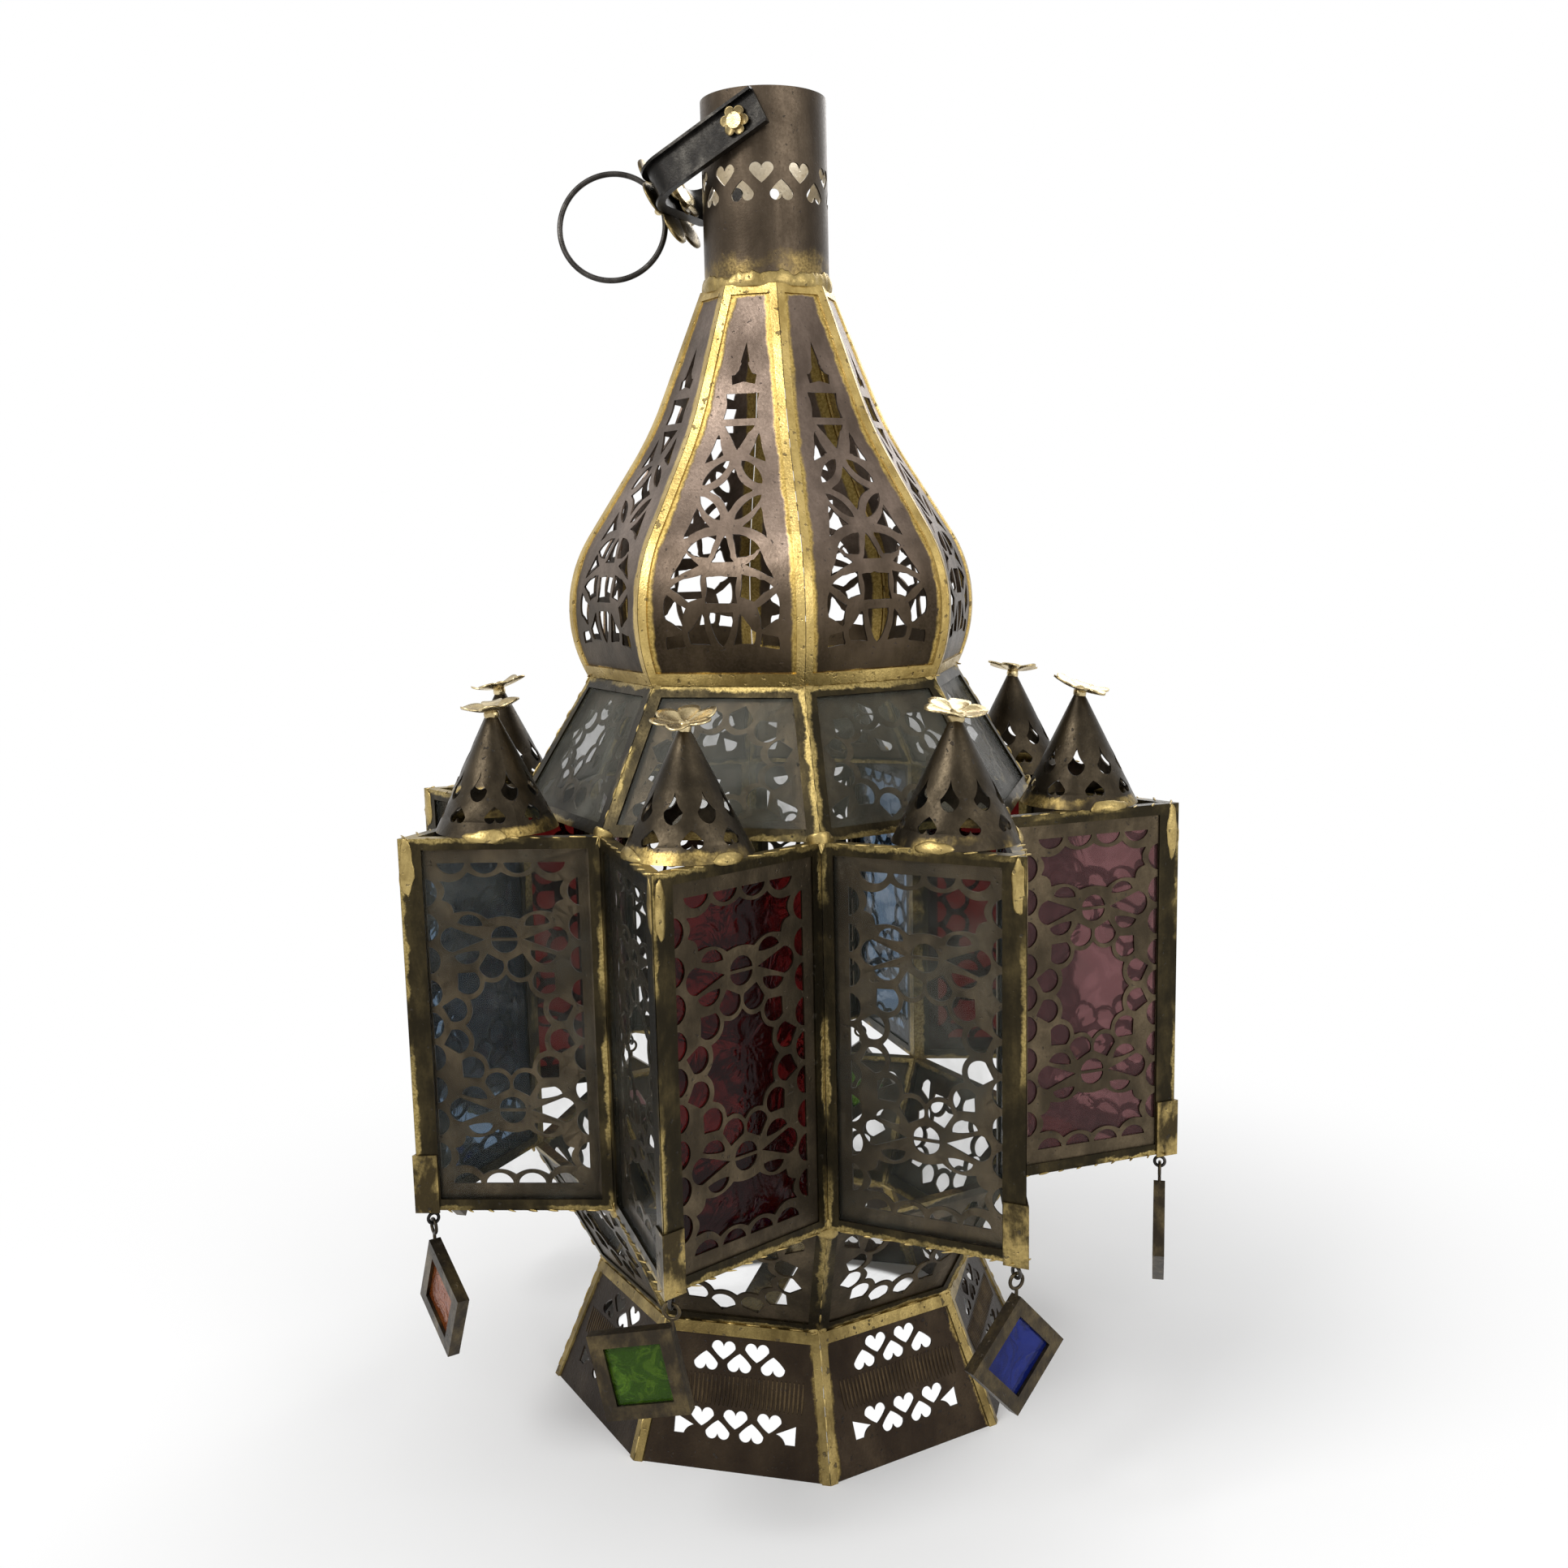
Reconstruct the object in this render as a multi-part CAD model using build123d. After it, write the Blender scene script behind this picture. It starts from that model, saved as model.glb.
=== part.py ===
import os
from math import atan2, cos, hypot, radians, sin, tan

from build123d import *

# Eight-sided pierced lantern: a flared base, a glazed wall, an eight-pointed star of glazed
# panels, a glazed shoulder, an onion dome, and a neck with a swinging bail and hanging ring.
# Millimetres, +Z up, origin on the floor at the middle of the base. The first star tip
# points to -Y, and what is made there is turned round the Z axis for the other sides.

# Heights of the tiers, stacked from the floor
base_height = 55.0
wall_height = 59.5
star_height = 156.5
shoulder_height = 57.0
dome_height = 163.5
neck_height = 78.5

# Radii out to the corners of the octagons, to the star's tips and of the round neck
foot_radius = 111.5
waist_radius = 88.0
valley_radius = 118.0
tip_radius = 177.0
dome_foot_radius = 83.0
dome_top_radius = 28.3
neck_radius = 26.9

# Dome outline: corner radius, and rise above the dome's foot
belly_radius = 90.0
belly_rise = 30.0
haunch_radius = 80.5
haunch_rise = 60.5
flare_radius = 60.0
flare_rise = 92.0
stem_radius = 46.3
stem_rise = 118.5

# Sheet metal, came channels and glass
sheet = 0.9
strip = 0.8
seam_gap = 0.3
came_wall = 0.8
came_cover = 1.8
tip_cover = 1.8
edge_cover = 2.0
grille_sheet = 0.8
glass = 2.0
fit_gap = 0.15

# Brass edging strips on the base and the dome
rib_width = 3.2
base_rail = 4.5
dome_foot_rail = 5.0
dome_top_rail = 4.0

# Heart cut-outs of the base and the neck
heart_width = 10.8
heart_height = 7.6
heart_pitch = 14.8
base_low_row = 16.0
base_high_row = 43.4
row_stagger = 4.6
leaf_width = 8.6
neck_heart_width = 10.0
neck_heart_height = 8.4
neck_heart_count = 10
neck_heart_drop = 34.0
neck_row_stagger = 6.9
neck_heart_turn = 12.0

# Dome lattice. Each opening is a ring of corners: its place across the panel as a share of
# the half width there, its rise as a share of the dome's height, and how far the edge that
# leaves the corner is bent into the opening. Middle openings give their right half from the
# bottom up, side openings are cut on both sides.
dome_middle_cuts = (
    ((0.00, 0.754, 0.0), (0.26, 0.746, 0.0), (0.28, 0.765, 0.9), (0.07, 0.801, 0.0), (0.00, 0.847, 0.0)),
    ((0.34, 0.658, 0.9), (0.36, 0.717, 0.0)),
    ((0.00, 0.580, 0.5), (0.28, 0.636, 0.0)),
    ((0.00, 0.426, 1.6), (0.32, 0.475, 1.6), (0.00, 0.528, 0.0)),
    ((0.13, 0.305, 0.5), (0.00, 0.365, 0.0)),
    ((0.18, 0.206, 0.8), (0.18, 0.264, -0.6)),
    ((0.00, 0.100, -0.8), (0.13, 0.180, 0.0)),
)
dome_side_cuts = (
    ((0.27, 0.566, 0.0), (0.52, 0.548, 0.6), (0.40, 0.615, 0.6)),
    ((0.13, 0.547, -1.7), (0.47, 0.494, -1.7)),
    ((0.12, 0.407, -1.6), (0.46, 0.461, -1.6)),
    ((0.25, 0.388, 0.5), (0.55, 0.362, 0.5), (0.47, 0.431, 0.8)),
    ((0.12, 0.367, 0.5), (0.19, 0.314, -0.8), (0.46, 0.333, -1.2)),
    ((0.32, 0.296, 0.6), (0.64, 0.265, 0.6), (0.48, 0.325, 0.6)),
    ((0.27, 0.270, 0.5), (0.25, 0.220, 0.0), (0.40, 0.210, 0.6), (0.62, 0.242, -0.8)),
    ((0.45, 0.191, 0.6), (0.50, 0.143, 0.5), (0.67, 0.169, -0.6), (0.67, 0.223, 0.6)),
    ((0.16, 0.105, 0.0), (0.38, 0.106, 0.0), (0.40, 0.132, 0.5), (0.23, 0.176, 0.8)),
    ((0.47, 0.098, 0.0), (0.69, 0.095, 0.0), (0.68, 0.121, 0.0), (0.51, 0.126, 0.4)),
)

# Star lace, drawn for this panel size and stretched with the panel
lace_width = 81.6
lace_height = 156.5
lace_lobes = 12
lace_middle_x = 17.2
lace_middle_y = 21.0
lace_lobe = 1.8
lace_ring_x = 23.1
lace_ring_y = 26.4
ring_hole_width = 9.4
ring_hole_round = 5.2
ring_hole_point = 4.4
lace_cluster = 36.0
moon_half = 5.0
moon_round = 4.3
moon_bar = 0.9
drop_near = 8.4
drop_far = 21.4
drop_half = 4.8
drop_round = 4.3
spark_high = ((9.0, 42.0, -0.4), (18.4, 43.0, -3.4))
spark_low = ((20.4, 29.0, -0.4), (10.8, 31.0, -3.8))
lace_end = (
    (6.5, 44.8, 1.9), (19.8, 47.4, 1.4), (24.4, 52.6, 1.6), (24.8, 60.0, 2.0), (13.6, 63.4, 2.2),
    (0.0, 63.4, 0.0),
)
lace_end_foot = 1.2
fringe_half = 5.3
fringe_round = 3.8
fringe_top = 67.4
fringe_top_places = (6.8, 20.4)
fringe_side = 30.8
fringe_side_places = (13.6, 27.4, 41.2, 55.6)

# Wall and shoulder lace, drawn for this length of slope
tier_lace_length = 65.5
tier_middle_x = 19.0
tier_middle_y = 15.0
tier_ring_x = 25.6
tier_ring_y = 21.2
corner_drop_x = 30.5
corner_drop_y = 20.0
corner_drop_reach = 8.0
corner_drop_half = 3.2

# Turrets and their flowers
turret_height = 46.5
turret_top_radius = 2.2
turret_wall = 0.8
turret_gap = 0.4
turret_overhang = 1.6
turret_cut_count = 8
teardrop_height = 11.6
teardrop_width = 7.2
teardrop_rise = 13.6
turret_heart_width = 8.4
turret_heart_height = 6.4
turret_heart_rise = 8.6
petal_count = 6
turret_flower_radius = 12.6
flower_sheet = 0.8

# Neck and bail
neck_wall = 1.0
collar_height = 7.0
collar_wall = 1.4
collar_gap = 0.3
pivot_drop = 14.0
pivot_turn = -8.0
bail_droop = 27.0
bail_reach = 46.0
bail_tail = 12.0
bail_width = 16.0
bail_web = 1.5
bail_flange = 2.5
bail_flange_wall = 1.2
bail_bend = 9.0
bail_side_gap = 0.6
rivet_radius = 2.0
rivet_head_radius = 3.2
rivet_head = 1.5
rivet_back_radius = 4.0
rivet_back = 1.2
running_gap = 0.06
washer_gap = 0.3
pivot_flower_radius = 6.2
outer_flower_radius = 22.0
inner_flower_radius = 11.0
eye_radius = 3.0
eye_wire = 1.1
eye_stem_radius = 1.6
eye_head_radius = 5.5
eye_head = 2.0
ring_radius = 23.6
ring_wire = 1.25
ring_slack = 0.3
ring_lift = 8.0
ring_tilt = 20.0

# Tip caps, hooks and pendants
cap_width = 9.0
cap_height = 24.0
cap_floor = 1.0
hook_inset = 6.0
hook_radius = 2.2
hook_wire = 0.7
hook_stem = 1.0
link_radius = 3.0
link_wire = 0.7
link_slack = 0.5
link_stem = 4.5
corner_bite = 2.0
pendant_side = 34.0
pendant_depth = 5.0
pendant_border = 5.5
pendant_rebate = 2.0
pendant_glass = 2.0
# How each pendant hangs: turn about the upright, and lean to its right seen from outside
pendant_turns = (0.0, 6.0, 1.0, 20.0, 0.0, -12.0, -1.0, 2.0)
pendant_leans = (-33.0, -2.0, 3.0, 16.0, 6.0, -9.0, -3.0, 18.0)

# Candle holder
bar_width = 16.0
bar_depth = 1.5
bar_drop = 2.0
bar_gap = 0.25
cup_bore_radius = 11.5
cup_wall = 0.8
cup_height = 16.0
cup_floor = 1.0

# Glass colours of the star's panels, tip by tip: left panel, right panel
star_colours = (
    ("clear", "red"), ("clear", "blue"), ("rose", "clear"), ("clear", "red"),
    ("blue", "clear"), ("clear", "rose"), ("red", "clear"), ("blue", "clear"),
)

# Values worked out from the ones above
sides = 8
turn = 360 / sides
half_turn = radians(turn / 2)
waist_z = base_height
star_z = waist_z + wall_height
shoulder_z = star_z + star_height
dome_z = shoulder_z + shoulder_height
neck_z = dome_z + dome_height
top_z = neck_z + neck_height
came_depth = 2 * came_wall + grille_sheet + glass + fit_gap
far = 2 * tip_radius
standing = (Align.CENTER, Align.CENTER, Align.MIN)


def apothem(radius):
    return radius * cos(half_turn)


base_tier = (foot_radius, 0, waist_radius, waist_z)
wall_tier = (waist_radius, waist_z, valley_radius, star_z)
shoulder_tier = (valley_radius, shoulder_z, dome_foot_radius, dome_z)
valley_x = valley_radius * sin(half_turn)
tip_run = tip_radius - apothem(valley_radius)
panel_width = hypot(valley_x, tip_run)
tip_half = atan2(valley_x, tip_run)
tip_pocket = came_depth / tan(tip_half) + came_wall
edge_pocket = came_depth * tan(half_turn) + came_wall
turret_back = apothem(valley_radius) + turret_gap
turret_offset = (tip_radius * sin(tip_half) + turret_overhang + turret_back) / (1 + sin(tip_half))
turret_radius = turret_offset - turret_back


def spread(shape):
    return [Rot(0, 0, turn * side) * shape for side in range(sides)]


def save(name, solids):
    shapes = solids if isinstance(solids, list) else [solids]
    flat = [solid for shape in shapes for solid in shape.solids()]
    export_step(flat[0] if len(flat) == 1 else Compound(children=flat), f"parts/{name}.step")


# The space of one side, between the two upright planes through its corners
def sector(gap):
    near = gap / sin(half_turn)
    side = far * tan(half_turn) - gap / cos(half_turn)
    outline = Polygon((0, -near), (-side, -far), (side, -far), align=None)
    return Pos(0, 0, -1) * extrude(outline, amount=top_z + 2, dir=(0, 0, 1))


def level(low_z, high_z):
    return Pos(0, 0, low_z) * Box(2 * far, 2 * far, high_z - low_z, align=standing)


# Sloping sides of the base, the wall and the shoulder
def tier_plane(tier):
    low_radius, low_z, high_radius, high_z = tier
    run = apothem(high_radius) - apothem(low_radius)
    return Plane((0, -apothem(low_radius), low_z), (1, 0, 0), (0, low_z - high_z, -run))


def tier_length(tier):
    low_radius, low_z, high_radius, high_z = tier
    return hypot(high_z - low_z, apothem(high_radius) - apothem(low_radius))


def tier_slab(tier, outer, inner, gap):
    length = tier_length(tier)
    blank = Pos(0, length / 2) * Rectangle(far, 2 * length)
    slab = extrude(tier_plane(tier).offset(-inner) * blank, amount=inner - outer)
    return slab & sector(gap) & level(tier[1], tier[3])


def tier_half_widths(tier):
    return apothem(tier[0]) * tan(half_turn), apothem(tier[2]) * tan(half_turn)


def tier_outline(tier, inset):
    low_half, high_half = tier_half_widths(tier)
    length = tier_length(tier)
    lean = (high_half - low_half) / length
    cut = inset * hypot(1, lean)
    low = low_half + lean * inset - cut
    high = high_half - lean * inset - cut
    top = length - inset
    return Polygon((-low, inset), (low, inset), (high, top), (-high, top), align=None)


def tier_pocket(tier):
    slope = abs(apothem(tier[2]) - apothem(tier[0])) / (tier[3] - tier[1])
    return came_depth * max(slope, tan(half_turn)) + came_wall


def tier_frame(tier):
    plane = tier_plane(tier)
    pocket = tier_pocket(tier)
    groove = extrude(plane.offset(came_wall - came_depth) * tier_outline(tier, pocket),
                     amount=came_depth - 2 * came_wall)
    window = extrude(plane.offset(-2 * came_depth) * tier_outline(tier, pocket + came_cover),
                     amount=3 * came_depth)
    return tier_slab(tier, 0, came_depth, seam_gap / 2) - groove - window


def tier_pane(tier, outer, depth):
    inset = tier_pocket(tier) + fit_gap
    return extrude(tier_plane(tier).offset(-outer - depth) * tier_outline(tier, inset), amount=depth)


# Cut-out outlines. An opening's corners run counter-clockwise, each with how far the edge
# that leaves it is bent: inward when positive, outward when negative, straight when zero.
def opening(corners):
    edges = []
    for (x, y, bend), (next_x, next_y, _) in zip(corners, corners[1:] + corners[:1]):
        run = next_x - x
        rise = next_y - y
        share = bend / hypot(run, rise)
        middle = (x + run / 2 - rise * share, y + rise / 2 + run * share)
        edges.append(ThreePointArc((x, y), middle, (next_x, next_y)) if bend
                     else Line((x, y), (next_x, next_y)))
    return make_face(Curve() + edges)


def symmetric(right, foot_bend=0.0):
    bends = [foot_bend] + [bend for x, y, bend in right]
    corners = [corner for corner in right if corner is not right[-1] or corner[0] > 0]
    for (x, y, bend), bend_below in zip(reversed(right), reversed(bends[:-1])):
        if x > 0 or y == right[-1][1]:
            corners.append((-x, y, bend_below))
    return opening(tuple(corners))


def both_sides(outline):
    return outline + mirror(outline, about=Plane.YZ)


def heart(width, height):
    return symmetric(((0, -height / 2, -width * 0.03), (width * 0.49, height * 0.1, -height * 0.34),
                      (0, height * 0.22, 0)))


def scallops(reach_x, reach_y, lobe):
    angles = [radians(360 * index / lace_lobes) for index in range(lace_lobes)]
    return opening(tuple((reach_x * cos(angle), reach_y * sin(angle), lobe) for angle in angles))


def ring_holes(reach_x, reach_y):
    half = ring_hole_width / 2
    hole = opening(((-half, 0, -ring_hole_round), (half, 0, 0), (0, ring_hole_point, 0)))
    holes = Sketch()
    for index in range(lace_lobes):
        angle = 360 * (index + 0.5) / lace_lobes
        x = reach_x * cos(radians(angle))
        y = reach_y * sin(radians(angle))
        holes += Pos(x, y) * Rot(0, 0, angle - 90) * hole
    return holes


def flower(radius, petals):
    petal_radius = radius * sin(radians(180 / petals)) / (1 + sin(radians(180 / petals)))
    outline = Circle(radius - petal_radius)
    for index in range(petals):
        angle = radians(360 * index / petals)
        reach = radius - petal_radius
        outline += Pos(reach * cos(angle), reach * sin(angle)) * Circle(petal_radius * 1.05)
    return outline


# A cutter that runs from the axis out to -Y, from an outline drawn as seen from there
def outward(outline, reach):
    return extrude(Plane.XZ * outline, amount=reach, dir=(0, -1, 0))


# Base skirt
def base_panel():
    cuts = Sketch()
    for index in (-1, 0, 1):
        x = index * heart_pitch
        cuts += Pos(x, base_high_row) * Rot(0, 0, 180) * heart(heart_width, heart_height)
        cuts += Pos(x, base_low_row + row_stagger) * heart(heart_width, heart_height)
    for index in (-0.5, 0.5):
        x = index * heart_pitch
        cuts += Pos(x, base_high_row + row_stagger) * heart(heart_width, heart_height)
        cuts += Pos(x, base_low_row) * Rot(0, 0, 180) * heart(heart_width, heart_height)
    leaf = opening(((0, -heart_height / 2, 0), (leaf_width / 2, -heart_height / 2, 0),
                    (leaf_width / 2, heart_height / 2, 0), (-leaf_width / 2, 0, 0.8)))
    cuts += both_sides(Pos(1.5 * heart_pitch, base_low_row + heart_height / 8) * leaf)
    drill = extrude(tier_plane(base_tier) * cuts, amount=2 * sheet, both=True)
    return tier_slab(base_tier, 0, sheet, seam_gap / 2) - drill


def base_edge():
    rail = tier_slab(base_tier, -strip, 0, seam_gap / 2)
    return rail - (sector(seam_gap / 2 + rib_width) & level(-1, waist_z - base_rail))


# Glazed wall and shoulder
def tier_grille(tier, outer):
    low_half, high_half = tier_half_widths(tier)
    length = tier_length(tier)
    size = length / tier_lace_length
    cuts = scallops(tier_middle_x, tier_middle_y, lace_lobe) + ring_holes(tier_ring_x, tier_ring_y)
    drop = opening(((-corner_drop_reach, 0, 0), (0, -corner_drop_half, -corner_drop_half * 0.9),
                    (0, corner_drop_half, 0)))
    wide_end = -1 if low_half > high_half else 1
    cuts += both_sides(Pos(corner_drop_x, wide_end * corner_drop_y) * Rot(0, 0, 45 * wide_end) * drop)
    lace = scale(cuts, by=size)
    drill = extrude(tier_plane(tier) * Pos(0, length / 2) * lace, amount=2 * came_depth, both=True)
    return tier_pane(tier, outer, grille_sheet) - drill


# Star panels: made as the right-hand panel of the first tip, then mirrored and turned
def star_plane():
    return Plane((0, -tip_radius, star_z), (valley_x, tip_run, 0), (tip_run, -valley_x, 0))


def star_outline(tip_inset, edge_inset):
    pane = Rectangle(panel_width - tip_inset - edge_inset, star_height - 2 * edge_inset)
    return Pos((panel_width + tip_inset - edge_inset) / 2, star_height / 2) * pane


def right_of_tip(gap):
    return Pos(gap, 0, -1) * Box(far, 2 * far, top_z + 2, align=(Align.MIN, Align.CENTER, Align.MIN))


def star_frame():
    plane = star_plane()
    blank = Pos(panel_width / 2, star_height / 2) * Rectangle(2 * panel_width, star_height)
    slab = extrude(plane.offset(-came_depth) * blank, amount=came_depth)
    slab = slab & right_of_tip(seam_gap / 2) & sector(seam_gap / 2)
    groove = extrude(plane.offset(came_wall - came_depth) * star_outline(tip_pocket, edge_pocket),
                     amount=came_depth - 2 * came_wall)
    lips = star_outline(tip_pocket + tip_cover, edge_pocket + edge_cover)
    window = extrude(plane.offset(-2 * came_depth) * lips, amount=3 * came_depth)
    return slab - groove - window


def star_pane(outer, depth):
    outline = star_outline(tip_pocket + fit_gap, edge_pocket + fit_gap)
    return extrude(star_plane().offset(-outer - depth) * outline, amount=depth)


def stretched(corners):
    across = panel_width / lace_width
    along = star_height / lace_height
    return tuple((x * across, y * along, bend) for x, y, bend in corners)


def moon(start, finish, round_by):
    return opening(stretched(((*start, -round_by), (*finish, 0))))


def lace_end_cuts():
    high = lace_cluster + moon_bar
    low = lace_cluster - moon_bar
    cuts = moon((moon_half, high), (-moon_half, high), moon_round)
    cuts += moon((-moon_half, low), (moon_half, low), moon_round)
    cuts += symmetric(stretched(lace_end), lace_end_foot)
    drop = ((drop_near, lace_cluster, 0), (drop_far, lace_cluster - drop_half, -drop_round),
            (drop_far, lace_cluster + drop_half, 0))
    for corners in (drop, spark_high, spark_low):
        cuts += both_sides(opening(stretched(corners)))
    for x in fringe_top_places:
        near_end = (x - fringe_half, fringe_top)
        far_end = (x + fringe_half, fringe_top)
        cuts += both_sides(moon(near_end, far_end, fringe_round))
    for y in fringe_side_places:
        high_end = (fringe_side, y + fringe_half)
        low_end = (fringe_side, y - fringe_half)
        cuts += both_sides(moon(high_end, low_end, fringe_round))
    return cuts


def star_grille(outer):
    across = panel_width / lace_width
    along = star_height / lace_height
    cuts = scallops(lace_middle_x * across, lace_middle_y * along, lace_lobe)
    cuts += ring_holes(lace_ring_x * across, lace_ring_y * along)
    cuts += both_sides(moon((fringe_side, fringe_half), (fringe_side, -fringe_half), fringe_round))
    end = lace_end_cuts()
    cuts += end + mirror(end, about=Plane.XZ)
    middle = Pos(panel_width / 2, star_height / 2)
    drill = extrude(star_plane() * middle * cuts, amount=2 * came_depth, both=True)
    return star_pane(outer, grille_sheet) - drill


def both_hands(shape):
    return [mirror(shape, about=Plane.YZ), shape]


# Turrets on the star's points
def turret_cone():
    outer = Cone(turret_radius, turret_top_radius, turret_height, align=standing)
    hollow = Cone(turret_radius - turret_wall, turret_top_radius - turret_wall,
                  turret_height - turret_wall, align=standing)
    teardrop = symmetric(((0, 0, -teardrop_width * 0.16),
                          (teardrop_width / 2, teardrop_height * 0.38, teardrop_width * 0.1),
                          (0, teardrop_height, 0)))
    upper = outward(Pos(0, teardrop_rise) * teardrop, turret_radius)
    small_heart = Rot(0, 0, 180) * heart(turret_heart_width, turret_heart_height)
    lower = outward(Pos(0, turret_heart_rise) * small_heart, turret_radius)
    step = 360 / turret_cut_count
    cuts = [Rot(0, 0, step * index) * upper for index in range(turret_cut_count)]
    cuts += [Rot(0, 0, step * (index + 0.5)) * lower for index in range(turret_cut_count)]
    return Pos(0, -turret_offset, shoulder_z) * (outer - hollow - cuts)


def turret_flower():
    bloom = extrude(flower(turret_flower_radius, petal_count), amount=flower_sheet)
    return Pos(0, -turret_offset, shoulder_z + turret_height) * bloom


# Dome
def dome_outline(shift):
    def spot(radius, rise):
        return (-apothem(radius) + shift, dome_z + rise)

    foot = spot(dome_foot_radius, 0)
    haunch = spot(haunch_radius, haunch_rise)
    flare = spot(flare_radius, flare_rise)
    stem = spot(stem_radius, stem_rise)
    top = spot(dome_top_radius, dome_height)
    return [
        ThreePointArc(foot, spot(belly_radius, belly_rise), haunch),
        Line(haunch, flare),
        TangentArc(flare, stem, tangent=(flare[0] - haunch[0], flare[1] - haunch[1])),
        Line(stem, top),
    ]


def dome_slab(outer, inner):
    near = dome_outline(outer)
    back = dome_outline(inner)
    ends = [Line(near[0] @ 0, back[0] @ 0), Line(near[-1] @ 1, back[-1] @ 1)]
    section = make_face(Curve() + near + back + ends)
    return extrude(Plane.YZ * section, amount=belly_radius, both=True) & sector(seam_gap / 2)


def dome_half_width(rise):
    spots = ((dome_foot_radius, 0), (belly_radius, belly_rise), (haunch_radius, haunch_rise),
             (flare_radius, flare_rise), (stem_radius, stem_rise), (dome_top_radius, dome_height))
    for (low_radius, low), (high_radius, high) in zip(spots, spots[1:]):
        if rise <= high:
            return (low_radius + (high_radius - low_radius) * (rise - low) / (high - low)) * sin(half_turn)


def dome_corners(corners):
    return tuple((across * dome_half_width(up * dome_height), up * dome_height, bend)
                 for across, up, bend in corners)


def dome_panel():
    cuts = Sketch()
    for corners in dome_middle_cuts:
        cuts += symmetric(dome_corners(corners))
    for corners in dome_side_cuts:
        cuts += both_sides(opening(dome_corners(corners)))
    return dome_slab(0, sheet) - outward(Pos(0, dome_z) * cuts, 2 * belly_radius)


def dome_edge():
    window = sector(seam_gap / 2 + rib_width) & level(dome_z + dome_foot_rail, neck_z - dome_top_rail)
    return dome_slab(-strip, 0) - window


# Neck
def pivot_plane():
    angle = radians(pivot_turn)
    return Plane((0, 0, top_z - pivot_drop), (0, 0, 1), (sin(angle), -cos(angle), 0))


def neck_tube():
    tube = Cylinder(neck_radius, neck_height, align=standing)
    tube -= Cylinder(neck_radius - neck_wall, neck_height, align=standing)
    high = neck_height - neck_heart_drop
    upright = heart(neck_heart_width, neck_heart_height)
    upper = outward(Pos(0, high) * upright, 2 * neck_radius)
    lower = outward(Pos(0, high - neck_row_stagger) * Rot(0, 0, 180) * upright, 2 * neck_radius)
    step = 360 / neck_heart_count
    cuts = [Rot(0, 0, neck_heart_turn + step * index) * upper for index in range(neck_heart_count)]
    cuts += [Rot(0, 0, neck_heart_turn + step * (index + 0.5)) * lower for index in range(neck_heart_count)]
    hole = pivot_plane() * Cylinder(rivet_radius + running_gap, 4 * neck_radius)
    return Pos(0, 0, neck_z) * (tube - cuts) - hole


def neck_collar():
    inside = neck_radius + collar_gap
    collar = Cylinder(inside + collar_wall, collar_height, align=standing)
    return Pos(0, 0, neck_z) * (collar - Cylinder(inside, collar_height, align=standing))


# Bail: made with its pivot along X and its crown up, then laid over
def bail_plane():
    angle = radians(pivot_turn)
    droop = radians(bail_droop)
    reach = (-cos(angle) * cos(droop), -sin(angle) * cos(droop), -sin(droop))
    return Plane((0, 0, top_z - pivot_drop), (sin(angle), -cos(angle), 0), reach)


bail_half = neck_radius + bail_side_gap
channel_depth = bail_web + bail_flange
crown_face = bail_reach + channel_depth
eye_z = crown_face + flower_sheet + eye_wire + eye_radius


def bail_outline(shift):
    half = bail_half + shift
    height = bail_tail + bail_reach + shift
    blank = Pos(0, -bail_tail + height / 2) * Rectangle(2 * half, height)
    return fillet(blank.vertices().group_by(Axis.Y)[-1], bail_bend + shift)


def bail_strap():
    band = bail_outline(channel_depth) - bail_outline(0)
    trough = bail_outline(2 * channel_depth) - bail_outline(bail_web)
    body = extrude(Plane.XZ * band, amount=bail_width / 2, both=True)
    body -= extrude(Plane.XZ * trough, amount=bail_width / 2 - bail_flange_wall, both=True)
    body -= Rot(0, 90, 0) * Cylinder(rivet_radius + running_gap, 4 * bail_half)
    body -= Pos(0, 0, bail_reach) * Cylinder(eye_stem_radius + running_gap, bail_width)
    return bail_plane() * body


def bail_flowers():
    hole = Circle(eye_stem_radius + running_gap)
    outer = extrude(flower(outer_flower_radius, petal_count) - hole, amount=flower_sheet)
    inner = extrude(flower(inner_flower_radius, petal_count) - hole, amount=flower_sheet)
    plane = bail_plane()
    inner = Pos(0, 0, bail_reach - flower_sheet) * inner
    return [plane * (Pos(0, 0, crown_face) * outer), plane * inner]


def hanging_eye():
    low = bail_reach - flower_sheet
    stem = Pos(0, 0, low) * Cylinder(eye_stem_radius, eye_z - eye_radius - low, align=standing)
    head = Pos(0, 0, low - eye_head) * Cylinder(eye_head_radius, eye_head, align=standing)
    loop = Pos(0, 0, eye_z) * Rot(90, 0, 0) * Torus(eye_radius, eye_wire)
    return bail_plane() * (stem + head + loop)


def hanging_ring():
    ring = Pos(0, 0, ring_radius) * Rot(0, 90, 0) * Torus(ring_radius, ring_wire)
    return bail_plane() * Pos(0, 0, eye_z + ring_slack) * Rot(0, ring_tilt, 0) * Rot(-ring_lift, 0, 0) * ring


# Rivets of the bail, with their flower washers between head and strap
washer_face = bail_half + bail_web + washer_gap


def at_pivots(shape):
    plane = pivot_plane()
    return [plane * shape, plane * Rot(0, 180, 0) * shape]


def bail_rivet():
    back_face = neck_radius - neck_wall - washer_gap - rivet_back
    head_face = washer_face + flower_sheet
    shank = Pos(0, 0, back_face) * Cylinder(rivet_radius, head_face - back_face, align=standing)
    back = Pos(0, 0, back_face - rivet_back / 2) * Cylinder(rivet_back_radius, rivet_back, align=standing)
    head = Pos(0, 0, head_face) * Cylinder(rivet_head_radius, rivet_head, align=standing)
    return shank + back + head


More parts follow.
